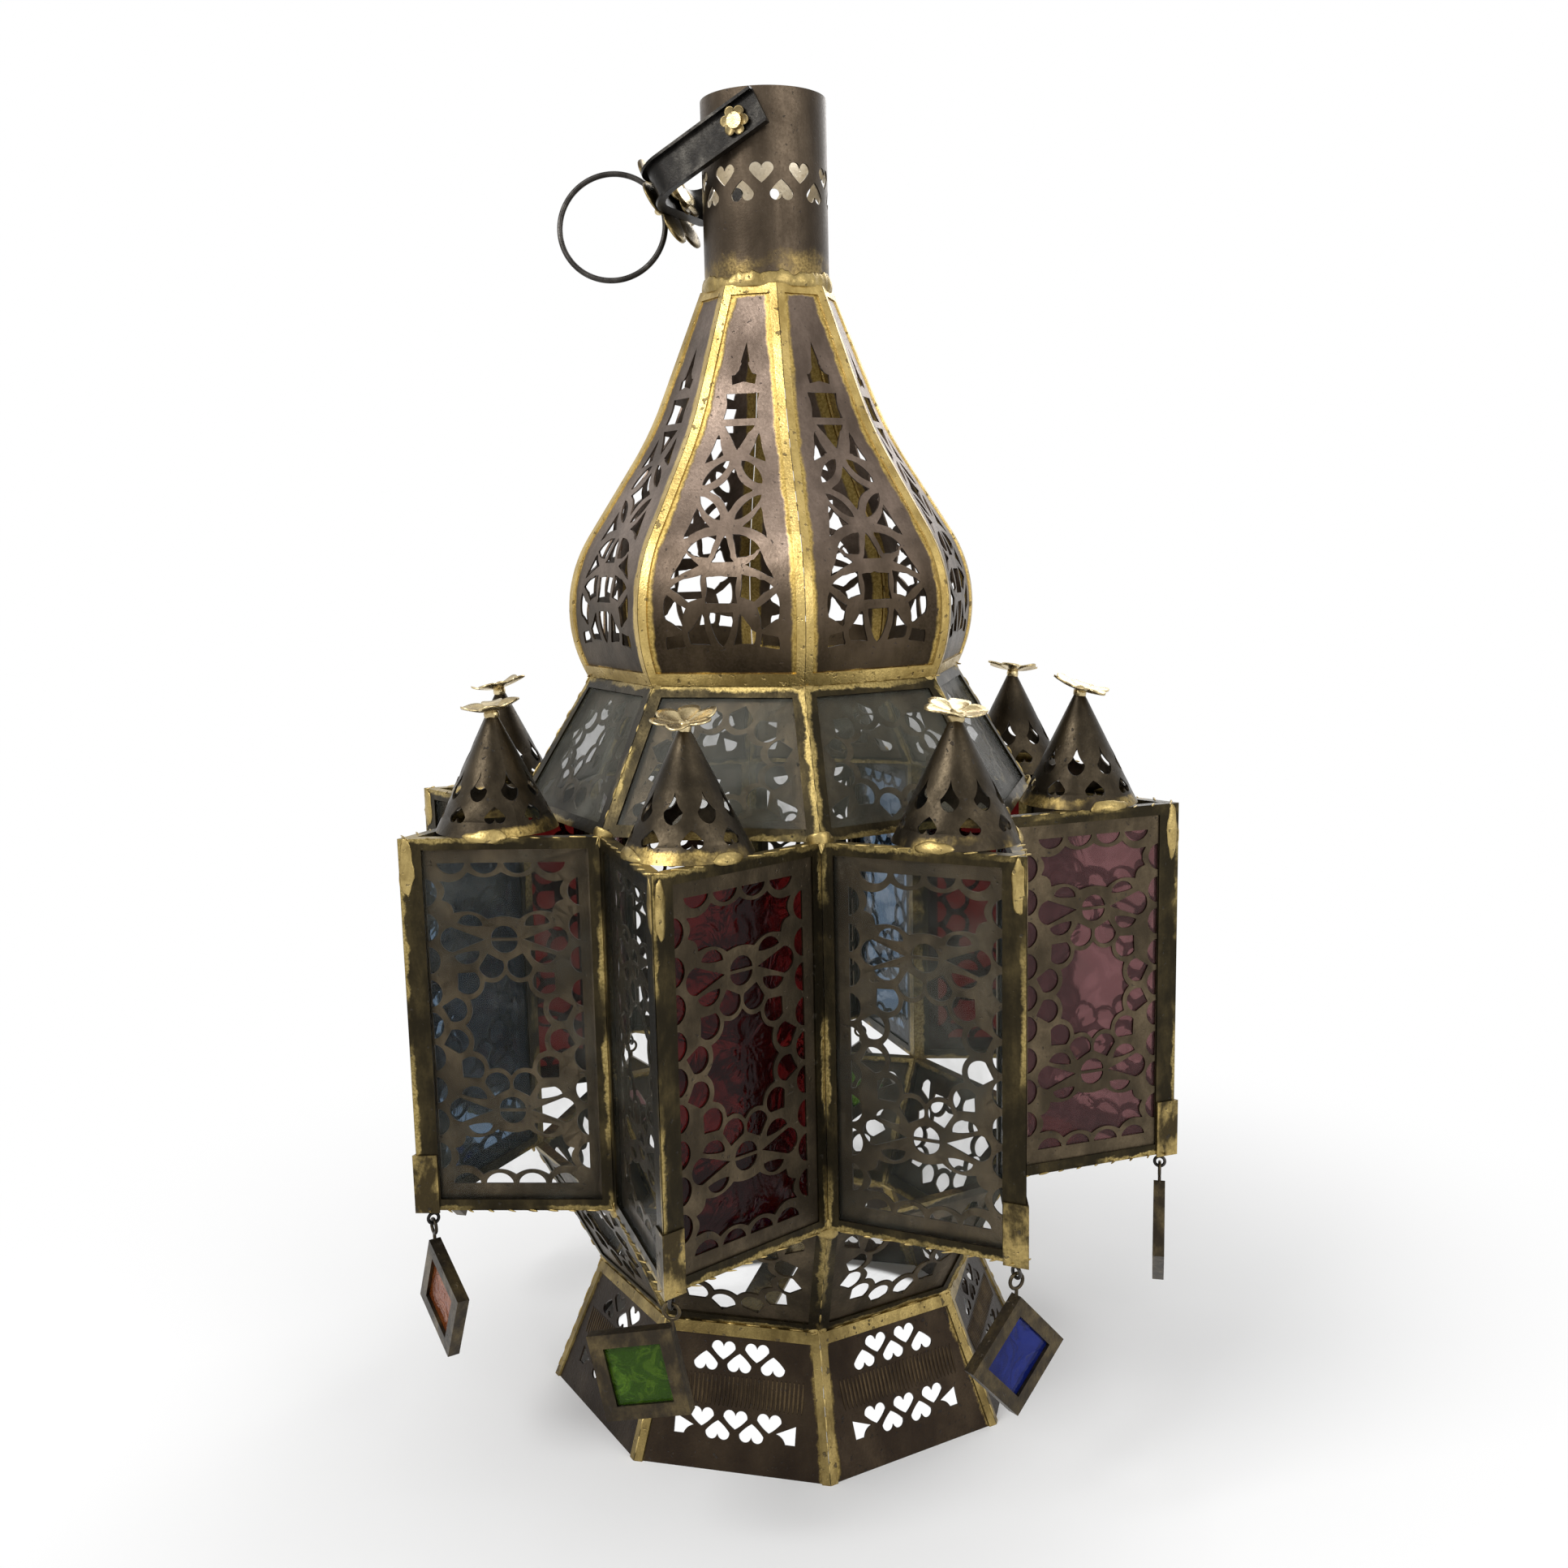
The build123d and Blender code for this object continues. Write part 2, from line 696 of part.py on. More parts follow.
def pivot_washer():
    outline = flower(pivot_flower_radius, petal_count) - Circle(rivet_radius + running_gap)
    return Pos(0, 0, washer_face) * extrude(outline, amount=flower_sheet)


# Tip caps, hooks and pendants
def tip_cap():
    height = cap_floor + cap_height
    blank = Pos(0, height / 2 - cap_floor) * Rectangle(2 * cap_width, height)
    leaf = extrude(star_plane() * blank, amount=strip) & right_of_tip(0)
    corner = star_plane().from_local_coords((cap_width, 0, strip))
    point = tip_radius + strip / sin(tip_half)
    floor = Polygon((0, -point), (corner.X, corner.Y), (-corner.X, corner.Y), align=None)
    plate = Pos(0, 0, star_z - cap_floor) * extrude(floor, amount=cap_floor, dir=(0, 0, 1))
    return leaf + mirror(leaf, about=Plane.YZ) + plate


hook_y = hook_inset - tip_radius
hook_z = star_z - cap_floor - hook_stem - hook_wire - hook_radius
link_top = hook_z - link_slack
link_z = link_top - link_radius
corner_z = link_z - link_radius - link_stem + corner_bite


def pendant_hook():
    stem = Pos(0, hook_y, hook_z + hook_radius) * Cylinder(hook_wire, hook_stem + hook_wire, align=standing)
    return stem + Pos(0, hook_y, hook_z) * Rot(0, 90, 0) * Torus(hook_radius, hook_wire)


# A pendant's own place: upright plane facing outward, with its top corner at the origin
def pendant_plane(side):
    out = radians(pendant_turns[side])
    facing = (sin(out), -cos(out), 0)
    plane = Plane((0, hook_y, corner_z), (cos(out), sin(out), 0), facing)
    return plane * Rot(0, 0, pendant_leans[side])


def pendant_square(size, depth):
    drop = pendant_side / 2 ** 0.5
    return Pos(0, -drop, 0) * Rot(0, 0, 45) * Box(size, size, depth)


def pendant_frame(side):
    rebate = pendant_side - 2 * (pendant_border - pendant_rebate)
    window = pendant_side - 2 * pendant_border
    box = pendant_square(pendant_side, pendant_depth) - pendant_square(window, 2 * pendant_depth)
    box -= pendant_square(rebate, pendant_glass + fit_gap)
    link = Pos(0, hook_y, link_z) * Rot(90, 0, 0) * Torus(link_radius, link_wire)
    stem = Pos(0, hook_y, corner_z - corner_bite) * Cylinder(link_wire, link_stem, align=standing)
    return Rot(0, 0, turn * side) * (pendant_plane(side) * box + link + stem)


def pendant_pane(side):
    size = pendant_side - 2 * (pendant_border - pendant_rebate) - 2 * fit_gap
    return Rot(0, 0, turn * side) * (pendant_plane(side) * pendant_square(size, pendant_glass))


# Candle holder across the top of the base
def candle_bar():
    bar = Box(bar_width, 2 * foot_radius, bar_depth, align=(Align.CENTER, Align.CENTER, Align.MAX))
    inside = extrude(tier_plane(base_tier).offset(-sheet - bar_gap) * Rectangle(far, far), amount=-far)
    return Pos(0, 0, waist_z - bar_drop) * bar & inside & (Rot(0, 0, 180) * inside)


def candle_cup():
    outer = Cylinder(cup_bore_radius + cup_wall, cup_height, align=standing)
    bore = Pos(0, 0, cup_floor) * Cylinder(cup_bore_radius, cup_height, align=standing)
    return Pos(0, 0, waist_z - bar_drop) * (outer - bore)


def main():
    os.makedirs("parts", exist_ok=True)
    save("base_panels", spread(base_panel()))
    save("base_edging", spread(base_edge()))
    save("candle_bar", candle_bar())
    save("candle_cup", candle_cup())
    save("wall_frames", spread(tier_frame(wall_tier)))
    save("wall_grilles", spread(tier_grille(wall_tier, came_wall)))
    save("wall_glass", spread(tier_pane(wall_tier, came_wall + grille_sheet, glass)))
    save("shoulder_frames", spread(tier_frame(shoulder_tier)))
    save("shoulder_glass", spread(tier_pane(shoulder_tier, came_wall, glass)))
    save("shoulder_grilles", spread(tier_grille(shoulder_tier, came_wall + glass)))

    # Clear panes stand before their lace, coloured ones behind it
    frames = both_hands(star_frame())
    save("star_frames", [part for frame in frames for part in spread(frame)])
    front_grilles = both_hands(star_grille(came_wall))
    back_grilles = both_hands(star_grille(came_wall + glass))
    front_panes = both_hands(star_pane(came_wall, glass))
    back_panes = both_hands(star_pane(came_wall + grille_sheet, glass))
    coloured = {}
    for side in range(sides):
        place = Rot(0, 0, turn * side)
        lace = []
        for hand, colour in enumerate(star_colours[side]):
            before = colour == "clear"
            lace.append(place * (back_grilles if before else front_grilles)[hand])
            coloured.setdefault(colour, []).append(place * (front_panes if before else back_panes)[hand])
        save(f"star_grille_{side + 1}", lace)
    for colour, solids in coloured.items():
        save(f"star_glass_{colour}", solids)

    save("turret_cones", spread(turret_cone()))
    save("turret_flowers", spread(turret_flower()))
    for side, panel in enumerate(spread(dome_panel())):
        save(f"dome_panel_{side + 1}", panel)
    save("dome_edging", spread(dome_edge()))
    save("neck_tube", neck_tube())
    save("neck_collar", neck_collar())
    save("bail_rivets", at_pivots(bail_rivet()))
    save("bail_washers", at_pivots(pivot_washer()))
    save("bail_strap", bail_strap())
    save("bail_flowers", bail_flowers())
    save("hanging_eye", hanging_eye())
    save("hanging_ring", hanging_ring())

    save("tip_caps", spread(tip_cap()))
    save("pendant_hooks", spread(pendant_hook()))
    for side in range(sides):
        save(f"pendant_frame_{side + 1}", pendant_frame(side))
        save(f"pendant_glass_{side + 1}", pendant_pane(side))


main()
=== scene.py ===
import math
import random

import bmesh
import bpy
from mathutils import Matrix, Vector, geometry, noise


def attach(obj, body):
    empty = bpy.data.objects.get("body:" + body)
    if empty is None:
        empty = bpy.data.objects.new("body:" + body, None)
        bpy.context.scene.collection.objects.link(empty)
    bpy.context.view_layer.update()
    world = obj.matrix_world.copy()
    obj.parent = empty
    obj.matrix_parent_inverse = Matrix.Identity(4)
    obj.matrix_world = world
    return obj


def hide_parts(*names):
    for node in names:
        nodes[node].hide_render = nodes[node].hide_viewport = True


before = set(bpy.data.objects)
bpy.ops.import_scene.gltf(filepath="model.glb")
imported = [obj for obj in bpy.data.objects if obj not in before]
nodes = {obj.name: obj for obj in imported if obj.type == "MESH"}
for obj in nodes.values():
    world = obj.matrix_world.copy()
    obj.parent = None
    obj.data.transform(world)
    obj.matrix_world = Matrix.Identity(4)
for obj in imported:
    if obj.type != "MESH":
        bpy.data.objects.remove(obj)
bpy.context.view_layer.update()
scene = bpy.context.scene
scene.view_settings.view_transform = "Standard"
print("frame loaded:", len(nodes), "nodes")

# Place and lens of the camera, worked out for a square frame
cameraView = {"spot": (0.1831, -0.6928, 0.3871), "round": 14.8, "down": 8.82, "right": 0.20, "roll": -1.27,
              "lens": 36.64, "sensor": 36.0, "near": 0.01}


def addObject(name, data):
    made = bpy.data.objects.new(name, data)
    scene.collection.objects.link(made)
    return made


def makeCamera(view):
    down, right, roll = (math.radians(view[key]) for key in ("down", "right", "roll"))
    ahead = Vector((math.sin(right) * math.cos(down), math.cos(right) * math.cos(down), -math.sin(down)))
    across = Vector((math.cos(right), -math.sin(right), 0))
    above = across.cross(ahead)
    side = across * math.cos(roll) + above * math.sin(roll)
    top = above * math.cos(roll) - across * math.sin(roll)
    facing = Matrix.Rotation(math.radians(view["round"]), 3, "Z") @ Matrix((side, top, -ahead)).transposed()
    data = bpy.data.cameras.new("camera")
    data.sensor_width = view["sensor"]
    data.lens = view["lens"]
    data.clip_start = view["near"]
    camera = addObject("camera", data)
    camera.matrix_world = Matrix.Translation(view["spot"]) @ facing.to_4x4()
    scene.camera = camera


makeCamera(cameraView)
print("camera placed")


# A socket that takes plain sums; any other node comes from its node method
class Wire:
    def __init__(self, tree, out=None):
        self.tree = tree
        self.out = out

    def node(self, kind, settings=None, inputs=None, output=0):
        made = self.tree.nodes.new(kind)
        for key, value in (settings or {}).items():
            setattr(made, key, value)
        for key, value in (inputs or {}).items():
            if isinstance(value, Wire):
                self.tree.links.new(value.out, made.inputs[key])
            else:
                made.inputs[key].default_value = value
        return Wire(self.tree, made.outputs[output] if made.outputs else None)

    def part(self, key):
        return Wire(self.tree, self.out.node.outputs[key])

    def sum(self, operation, first, second=0.0, clamp=False):
        settings = {"operation": operation, "use_clamp": clamp}
        return self.node("ShaderNodeMath", settings, {0: first, 1: second})

    def __add__(self, other):
        return self.sum("ADD", self, other)

    def __radd__(self, other):
        return self.sum("ADD", other, self)

    def __sub__(self, other):
        return self.sum("SUBTRACT", self, other)

    def __rsub__(self, other):
        return self.sum("SUBTRACT", other, self)

    def __mul__(self, other):
        return self.sum("MULTIPLY", self, other)

    def __pow__(self, other):
        return self.sum("POWER", self, other)

    def step(self, low, high):
        return self.node("ShaderNodeMapRange", {"interpolation_type": "SMOOTHSTEP"},
                         {"Value": self, "From Min": low, "From Max": high})

    def blend(self, first, second):
        return self.node("ShaderNodeMix", {"data_type": "RGBA"}, {0: self, 6: first, 7: second}, 2)

    def noise(self, size, detail=4.0, rough=0.55, twist=0.0):
        return self.node("ShaderNodeTexNoise", None, {"Vector": self, "Scale": size, "Detail": detail,
                                                     "Roughness": rough, "Distortion": twist})

    def stretch(self, sizes):
        return self.node("ShaderNodeMapping", None, {"Vector": self, "Scale": sizes})


def newMaterial(name):
    material = bpy.data.materials.new(name)
    material.use_nodes = True
    tree = material.node_tree
    tree.nodes.clear()
    return material, Wire(tree)


def surface(start, inputs):
    finish = start.node("ShaderNodeBsdfPrincipled", None, inputs)
    start.node("ShaderNodeOutputMaterial", None, {"Surface": finish})


def ink(red, green, blue):
    return (red, green, blue, 1.0)


# Sizes of the eight-sided body that the finishes follow, in metres
bodyLook = {"sides": 8, "tip": 0.177, "panel": 0.0816, "waist": 0.088, "valley": 0.118, "domeFoot": 0.083,
            "waistZ": 0.055, "starZ": 0.1145, "shoulderZ": 0.271, "domeZ": 0.328, "neckZ": 0.4915}


# Distances over the body: to the next seam, to a star panel's sides and from the axis, with the height
def bodyPlaces(start, place):
    spot = start.node("ShaderNodeSeparateXYZ", None, {0: place})
    x, y, z = (spot.part(key) for key in "XYZ")
    reach = (x * x + y * y) ** 0.5
    swing = start.sum("PINGPONG", start.sum("ARCTAN2", x, 0.0 - y), math.pi / bodyLook["sides"])
    side = reach * start.sum("SINE", swing)
    short = bodyLook["tip"] - reach * start.sum("COSINE", swing)
    along = (side * side + short * short) ** 0.5
    seam = reach * start.sum("SINE", math.pi / bodyLook["sides"] - swing)
    star = start.sum("MINIMUM", along, bodyLook["panel"] - along)
    return {"seam": seam, "star": star, "reach": reach, "height": z}


def levelGap(start, height, levels):
    gap = start.sum("ABSOLUTE", height - levels[0])
    for level in levels[1:]:
        gap = start.sum("MINIMUM", gap, start.sum("ABSOLUTE", height - level))
    return gap


# What all the metals share: soft edges of the patterns, and each pattern's part in colour, relief and shine
# the soft edge of the lining is the edge of the painted light inside a tube
metalMix = {"pitSoft": 0.07, "patchSoft": 0.16, "liningSoft": 0.0002, "rubCloud": 0.55, "rubSmear": 0.45,
            "mottleBand": (0.35, 0.75), "mottle": 0.35, "gildBand": (0.3, 0.7)}
metalRelief = {"grain": 0.35, "cloud": 0.8, "pits": 0.9, "smear": 0.3, "gold": 0.8, "depth": 0.0006}
metalShine = {"grain": 0.25, "pits": 0.2, "least": 0.12, "metal": 0.96, "pitDull": 0.35}


# Antiqued metal: a dark skin that clouds, streaks, rubs bright and pits, gilded along the edges it is given
def agedMetal(name, look):
    material, start = newMaterial(name)
    place = start.node("ShaderNodeTexCoord", output="Object")
    cloud = place.noise(look["cloudSize"], detail=6.0, rough=0.6, twist=0.4)
    smear = place.stretch((1.0, 1.0, look["smear"])).noise(look["smearSize"], detail=5.0, rough=0.65)
    grain = place.noise(look["grainSize"], detail=3.0, rough=0.6)
    pits = place.noise(look["pitSize"], detail=2.0, rough=0.5)
    pits = pits.step(look["pitEdge"], look["pitEdge"] + metalMix["pitSoft"])
    rub = cloud * metalMix["rubCloud"] + smear * metalMix["rubSmear"]
    rub = rub.step(look["rubLow"], look["rubHigh"])
    colour = rub.blend(look["dark"], look["bright"])
    spots = bodyPlaces(start, place)
    smoke = look.get("smoke")
    if smoke:  # darker towards the bottom, between the heights it is given
        clear = (spots["height"] + (cloud - 0.5) * smoke["waver"]).step(smoke["low"], smoke["high"])
        colour = clear.blend(rub.blend(smoke["dark"], smoke["bright"]), colour)
    colour = (grain.step(*metalMix["mottleBand"]) * metalMix["mottle"]).blend(colour, look["mottle"])
    height = grain * metalRelief["grain"] + cloud * metalRelief["cloud"]
    height = height - pits * metalRelief["pits"] + smear * metalRelief["smear"]
    gild = look.get("gild")
    if gild:
        edge = levelGap(start, spots["height"], gild["levels"])
        if gild["along"]:
            edge = start.sum("MINIMUM", edge, spots[gild["along"]])
        ragged = edge + (place.noise(gild["ragSize"], detail=5.0, rough=0.7) - 0.5) * gild["rag"]
        gold = 1.0 - ragged.step(gild["reach"], gild["reach"] + gild["fade"])
        patch = place.noise(gild["patchSize"], detail=4.0, rough=0.6)
        gold = gold * patch.step(gild["patchLow"], gild["patchLow"] + metalMix["patchSoft"])
        colour = gold.blend(colour, grain.step(*metalMix["gildBand"]).blend(gild["dark"], gild["bright"]))
        height = height + gold * metalRelief["gold"]
    colour = (pits * look["pitDepth"]).blend(colour, look["pitColour"])
    lining = look.get("lining")
    if lining:  # painted light: the inside of the tube is painted bright brass, standing in for the light that reaches it
        paintedLightMask = 1.0 - spots["reach"].step(lining["radius"], lining["radius"] + metalMix["liningSoft"])
        colour = paintedLightMask.blend(colour, grain.blend(lining["dark"], lining["bright"]))
    rough = look["rough"] + (grain - 0.5) * metalShine["grain"]
    rough = rough - rub * look["polish"] + pits * metalShine["pits"]
    bump = start.node("ShaderNodeBump", None, {"Height": height, "Strength": look["bump"],
                                               "Distance": metalRelief["depth"]})
    surface(start, {"Base Color": colour, "Roughness": start.sum("MAXIMUM", rough, metalShine["least"]),
                    "Metallic": metalShine["metal"] - pits * metalShine["pitDull"], "Normal": bump})
    return material


neckSheet = agedMetal("neckSheet", {
    "cloudSize": 26.0, "smear": 0.25, "smearSize": 60.0, "grainSize": 900.0, "pitSize": 520.0,
    "pitEdge": 0.68, "pitDepth": 0.6, "pitColour": ink(0.026, 0.018, 0.014), "rubLow": 0.36, "rubHigh": 0.70,
    "dark": ink(0.042, 0.031, 0.021), "bright": ink(0.130, 0.098, 0.068), "mottle": ink(0.046, 0.032, 0.020),
    "rough": 0.44, "polish": 0.10, "bump": 0.30,
    # painted light: the inside of the neck tube is painted bright, standing in for the light that reaches it
    "lining": {"radius": 0.0262, "dark": ink(0.560, 0.500, 0.400), "bright": ink(0.860, 0.800, 0.680)},
    "gild": {"along": None, "levels": (bodyLook["neckZ"],), "reach": 0.0060, "fade": 0.0090,
             "ragSize": 60.0, "rag": 0.022, "patchSize": 40.0, "patchLow": 0.40,
             "dark": ink(0.130, 0.090, 0.036), "bright": ink(0.300, 0.215, 0.082)}})
domeSheet = agedMetal("domeSheet", {
    "cloudSize": 24.0, "smear": 0.25, "smearSize": 60.0, "grainSize": 900.0, "pitSize": 520.0,
    "pitEdge": 0.68, "pitDepth": 0.6, "pitColour": ink(0.026, 0.018, 0.014), "rubLow": 0.34, "rubHigh": 0.70,
    "dark": ink(0.074, 0.054, 0.041), "bright": ink(0.250, 0.188, 0.148), "mottle": ink(0.080, 0.056, 0.040),
    "rough": 0.44, "polish": 0.10, "bump": 0.30,
    # darker towards the bottom of the dome
    "smoke": {"low": 0.335, "high": 0.415, "waver": 0.06, "dark": ink(0.020, 0.014, 0.007),
              "bright": ink(0.080, 0.057, 0.032)},
    "gild": {"along": "seam", "levels": (bodyLook["domeZ"], bodyLook["neckZ"]), "reach": 0.0042,
             "fade": 0.0014, "ragSize": 70.0, "rag": 0.0045, "patchSize": 22.0, "patchLow": 0.26,
             "dark": ink(0.260, 0.175, 0.045), "bright": ink(0.520, 0.370, 0.115)}})
turretSheet = agedMetal("turretSheet", {
    "cloudSize": 34.0, "smear": 0.25, "smearSize": 80.0, "grainSize": 1000.0, "pitSize": 520.0,
    "pitEdge": 0.66, "pitDepth": 0.6, "pitColour": ink(0.015, 0.011, 0.008), "rubLow": 0.38, "rubHigh": 0.72,
    "dark": ink(0.022, 0.017, 0.011), "bright": ink(0.085, 0.066, 0.042), "mottle": ink(0.026, 0.019, 0.011),
    "rough": 0.44, "polish": 0.10, "bump": 0.30,
    "gild": {"along": None, "levels": (bodyLook["shoulderZ"],), "reach": 0.0032, "fade": 0.0018,
             "ragSize": 70.0, "rag": 0.009, "patchSize": 30.0, "patchLow": 0.42,
             "dark": ink(0.230, 0.160, 0.050), "bright": ink(0.480, 0.350, 0.125)}})
baseSheet = agedMetal("baseSheet", {
    "cloudSize": 30.0, "smear": 0.25, "smearSize": 60.0, "grainSize": 900.0, "pitSize": 480.0,
    "pitEdge": 0.66, "pitDepth": 0.5, "pitColour": ink(0.012, 0.009, 0.007), "rubLow": 0.38, "rubHigh": 0.74,
    "dark": ink(0.020, 0.014, 0.010), "bright": ink(0.048, 0.034, 0.021), "mottle": ink(0.030, 0.019, 0.010),
    "rough": 0.46, "polish": 0.10, "bump": 0.45,
    "gild": {"along": "seam", "levels": (bodyLook["waistZ"],), "reach": 0.0030, "fade": 0.0016,
             "ragSize": 80.0, "rag": 0.007, "patchSize": 24.0, "patchLow": 0.36,
             "dark": ink(0.120, 0.084, 0.026), "bright": ink(0.270, 0.195, 0.066)}})
fluteSheet = agedMetal("fluteSheet", {
    "cloudSize": 60.0, "smear": 0.25, "smearSize": 90.0, "grainSize": 1100.0, "pitSize": 480.0,
    "pitEdge": 0.66, "pitDepth": 0.5, "pitColour": ink(0.014, 0.010, 0.007), "rubLow": 0.36, "rubHigh": 0.70,
    "dark": ink(0.026, 0.018, 0.011), "bright": ink(0.095, 0.066, 0.034), "mottle": ink(0.034, 0.022, 0.012),
    "rough": 0.44, "polish": 0.10, "bump": 0.3})
ribBrass = agedMetal("ribBrass", {
    "cloudSize": 48.0, "smear": 0.35, "smearSize": 120.0, "grainSize": 1100.0, "pitSize": 330.0,
    "pitEdge": 0.64, "pitDepth": 0.7, "pitColour": ink(0.085, 0.058, 0.022), "rubLow": 0.34, "rubHigh": 0.62,
    "dark": ink(0.300, 0.205, 0.062), "bright": ink(0.640, 0.470, 0.170), "mottle": ink(0.260, 0.180, 0.052),
    "rough": 0.40, "polish": 0.12, "bump": 0.6})
footBrass = agedMetal("footBrass", {
    "cloudSize": 45.0, "smear": 0.35, "smearSize": 110.0, "grainSize": 1100.0, "pitSize": 330.0,
    "pitEdge": 0.63, "pitDepth": 0.7, "pitColour": ink(0.040, 0.028, 0.013), "rubLow": 0.36, "rubHigh": 0.66,
    "dark": ink(0.105, 0.074, 0.026), "bright": ink(0.330, 0.245, 0.090), "mottle": ink(0.120, 0.084, 0.030),
    "rough": 0.42, "polish": 0.12, "bump": 0.55})
frameLook = {
    "cloudSize": 45.0, "smear": 0.30, "smearSize": 120.0, "grainSize": 1000.0, "pitSize": 420.0,
    "pitEdge": 0.68, "pitDepth": 0.6, "pitColour": ink(0.020, 0.016, 0.010), "rubLow": 0.42, "rubHigh": 0.74,
    "dark": ink(0.020, 0.016, 0.009), "bright": ink(0.085, 0.064, 0.028), "mottle": ink(0.026, 0.020, 0.010),
    "rough": 0.42, "polish": 0.12, "bump": 0.45,
    "gild": {"along": "star", "levels": (bodyLook["starZ"], bodyLook["shoulderZ"]), "reach": 0.0012,
             "fade": 0.0012, "ragSize": 85.0, "rag": 0.007, "patchSize": 22.0, "patchLow": 0.42,
             "dark": ink(0.190, 0.140, 0.046), "bright": ink(0.430, 0.325, 0.125)}}
starBrass = agedMetal("starBrass", frameLook)
tierLevels = (bodyLook["waistZ"], bodyLook["starZ"], bodyLook["shoulderZ"], bodyLook["domeZ"])
tierGild = {**frameLook["gild"], "along": "seam", "levels": tierLevels}
tierBrass = agedMetal("tierBrass", {**frameLook, "gild": tierGild})
laceMetal = agedMetal("laceMetal", {
    "cloudSize": 30.0, "smear": 0.5, "smearSize": 90.0, "grainSize": 900.0, "pitSize": 420.0,
    "pitEdge": 0.66, "pitDepth": 0.6, "pitColour": ink(0.018, 0.013, 0.008), "rubLow": 0.40, "rubHigh": 0.72,
    "dark": ink(0.044, 0.034, 0.022), "bright": ink(0.150, 0.114, 0.070), "mottle": ink(0.054, 0.040, 0.023),
    "rough": 0.44, "polish": 0.10, "bump": 0.45})
pendantMetal = agedMetal("pendantMetal", {
    "cloudSize": 70.0, "smear": 0.5, "smearSize": 140.0, "grainSize": 1100.0, "pitSize": 420.0,
    "pitEdge": 0.66, "pitDepth": 0.6, "pitColour": ink(0.018, 0.013, 0.009), "rubLow": 0.42, "rubHigh": 0.70,
    "dark": ink(0.036, 0.029, 0.021), "bright": ink(0.150, 0.112, 0.054), "mottle": ink(0.048, 0.035, 0.021),
    "rough": 0.42, "polish": 0.10, "bump": 0.4})
darkWire = agedMetal("darkWire", {
    "cloudSize": 70.0, "smear": 0.5, "smearSize": 140.0, "grainSize": 1300.0, "pitSize": 600.0,
    "pitEdge": 0.66, "pitDepth": 0.6, "pitColour": ink(0.012, 0.010, 0.009), "rubLow": 0.42, "rubHigh": 0.70,
    "dark": ink(0.026, 0.024, 0.022), "bright": ink(0.095, 0.088, 0.080), "mottle": ink(0.034, 0.028, 0.022),
    "rough": 0.40, "polish": 0.10, "bump": 0.3})
strapSteel = agedMetal("strapSteel", {
    "cloudSize": 60.0, "smear": 0.5, "smearSize": 120.0, "grainSize": 1100.0, "pitSize": 520.0,
    "pitEdge": 0.66, "pitDepth": 0.6, "pitColour": ink(0.020, 0.017, 0.014), "rubLow": 0.42, "rubHigh": 0.72,
    "dark": ink(0.018, 0.017, 0.016), "bright": ink(0.095, 0.088, 0.076), "mottle": ink(0.026, 0.022, 0.018),
    "rough": 0.38, "polish": 0.10, "bump": 0.3})
petalBrass = agedMetal("petalBrass", {
    "cloudSize": 55.0, "smear": 0.6, "smearSize": 130.0, "grainSize": 1000.0, "pitSize": 400.0,
    "pitEdge": 0.67, "pitDepth": 0.6, "pitColour": ink(0.080, 0.056, 0.026), "rubLow": 0.32, "rubHigh": 0.60,
    "dark": ink(0.300, 0.220, 0.095), "bright": ink(0.720, 0.590, 0.340), "mottle": ink(0.260, 0.185, 0.075),
    "rough": 0.36, "polish": 0.12, "bump": 0.4})
solderBrass = agedMetal("solderBrass", {
    "cloudSize": 80.0, "smear": 0.6, "smearSize": 180.0, "grainSize": 1200.0, "pitSize": 380.0,
    "pitEdge": 0.66, "pitDepth": 0.6, "pitColour": ink(0.085, 0.062, 0.028), "rubLow": 0.34, "rubHigh": 0.62,
    "dark": ink(0.190, 0.135, 0.046), "bright": ink(0.480, 0.360, 0.140), "mottle": ink(0.220, 0.160, 0.060),
    "rough": 0.46, "polish": 0.12, "bump": 0.6})
bailBrass = agedMetal("bailBrass", {
    "cloudSize": 75.0, "smear": 0.6, "smearSize": 150.0, "grainSize": 1000.0, "pitSize": 400.0,
    "pitEdge": 0.66, "pitDepth": 0.6, "pitColour": ink(0.030, 0.022, 0.012), "rubLow": 0.40, "rubHigh": 0.66,
    "dark": ink(0.085, 0.062, 0.030), "bright": ink(0.400, 0.305, 0.140), "mottle": ink(0.090, 0.064, 0.030),
    "rough": 0.42, "polish": 0.12, "bump": 0.45})
capBrass = agedMetal("capBrass", {
    "cloudSize": 70.0, "smear": 0.35, "smearSize": 110.0, "grainSize": 1100.0, "pitSize": 330.0,
    "pitEdge": 0.64, "pitDepth": 0.7, "pitColour": ink(0.024, 0.018, 0.010), "rubLow": 0.46, "rubHigh": 0.60,
    "dark": ink(0.046, 0.034, 0.016), "bright": ink(0.420, 0.310, 0.115), "mottle": ink(0.070, 0.052, 0.022),
    "rough": 0.42, "polish": 0.12, "bump": 0.55})
print("metals made")


# What all the glass shares
glassMix = {"filmBand": (0.42, 0.78), "veinBand": (0.2, 1.0), "bend": 1.22}
glassRelief = {"swirl": 0.6, "ripple": 0.12, "film": 0.2, "depth": 0.001}


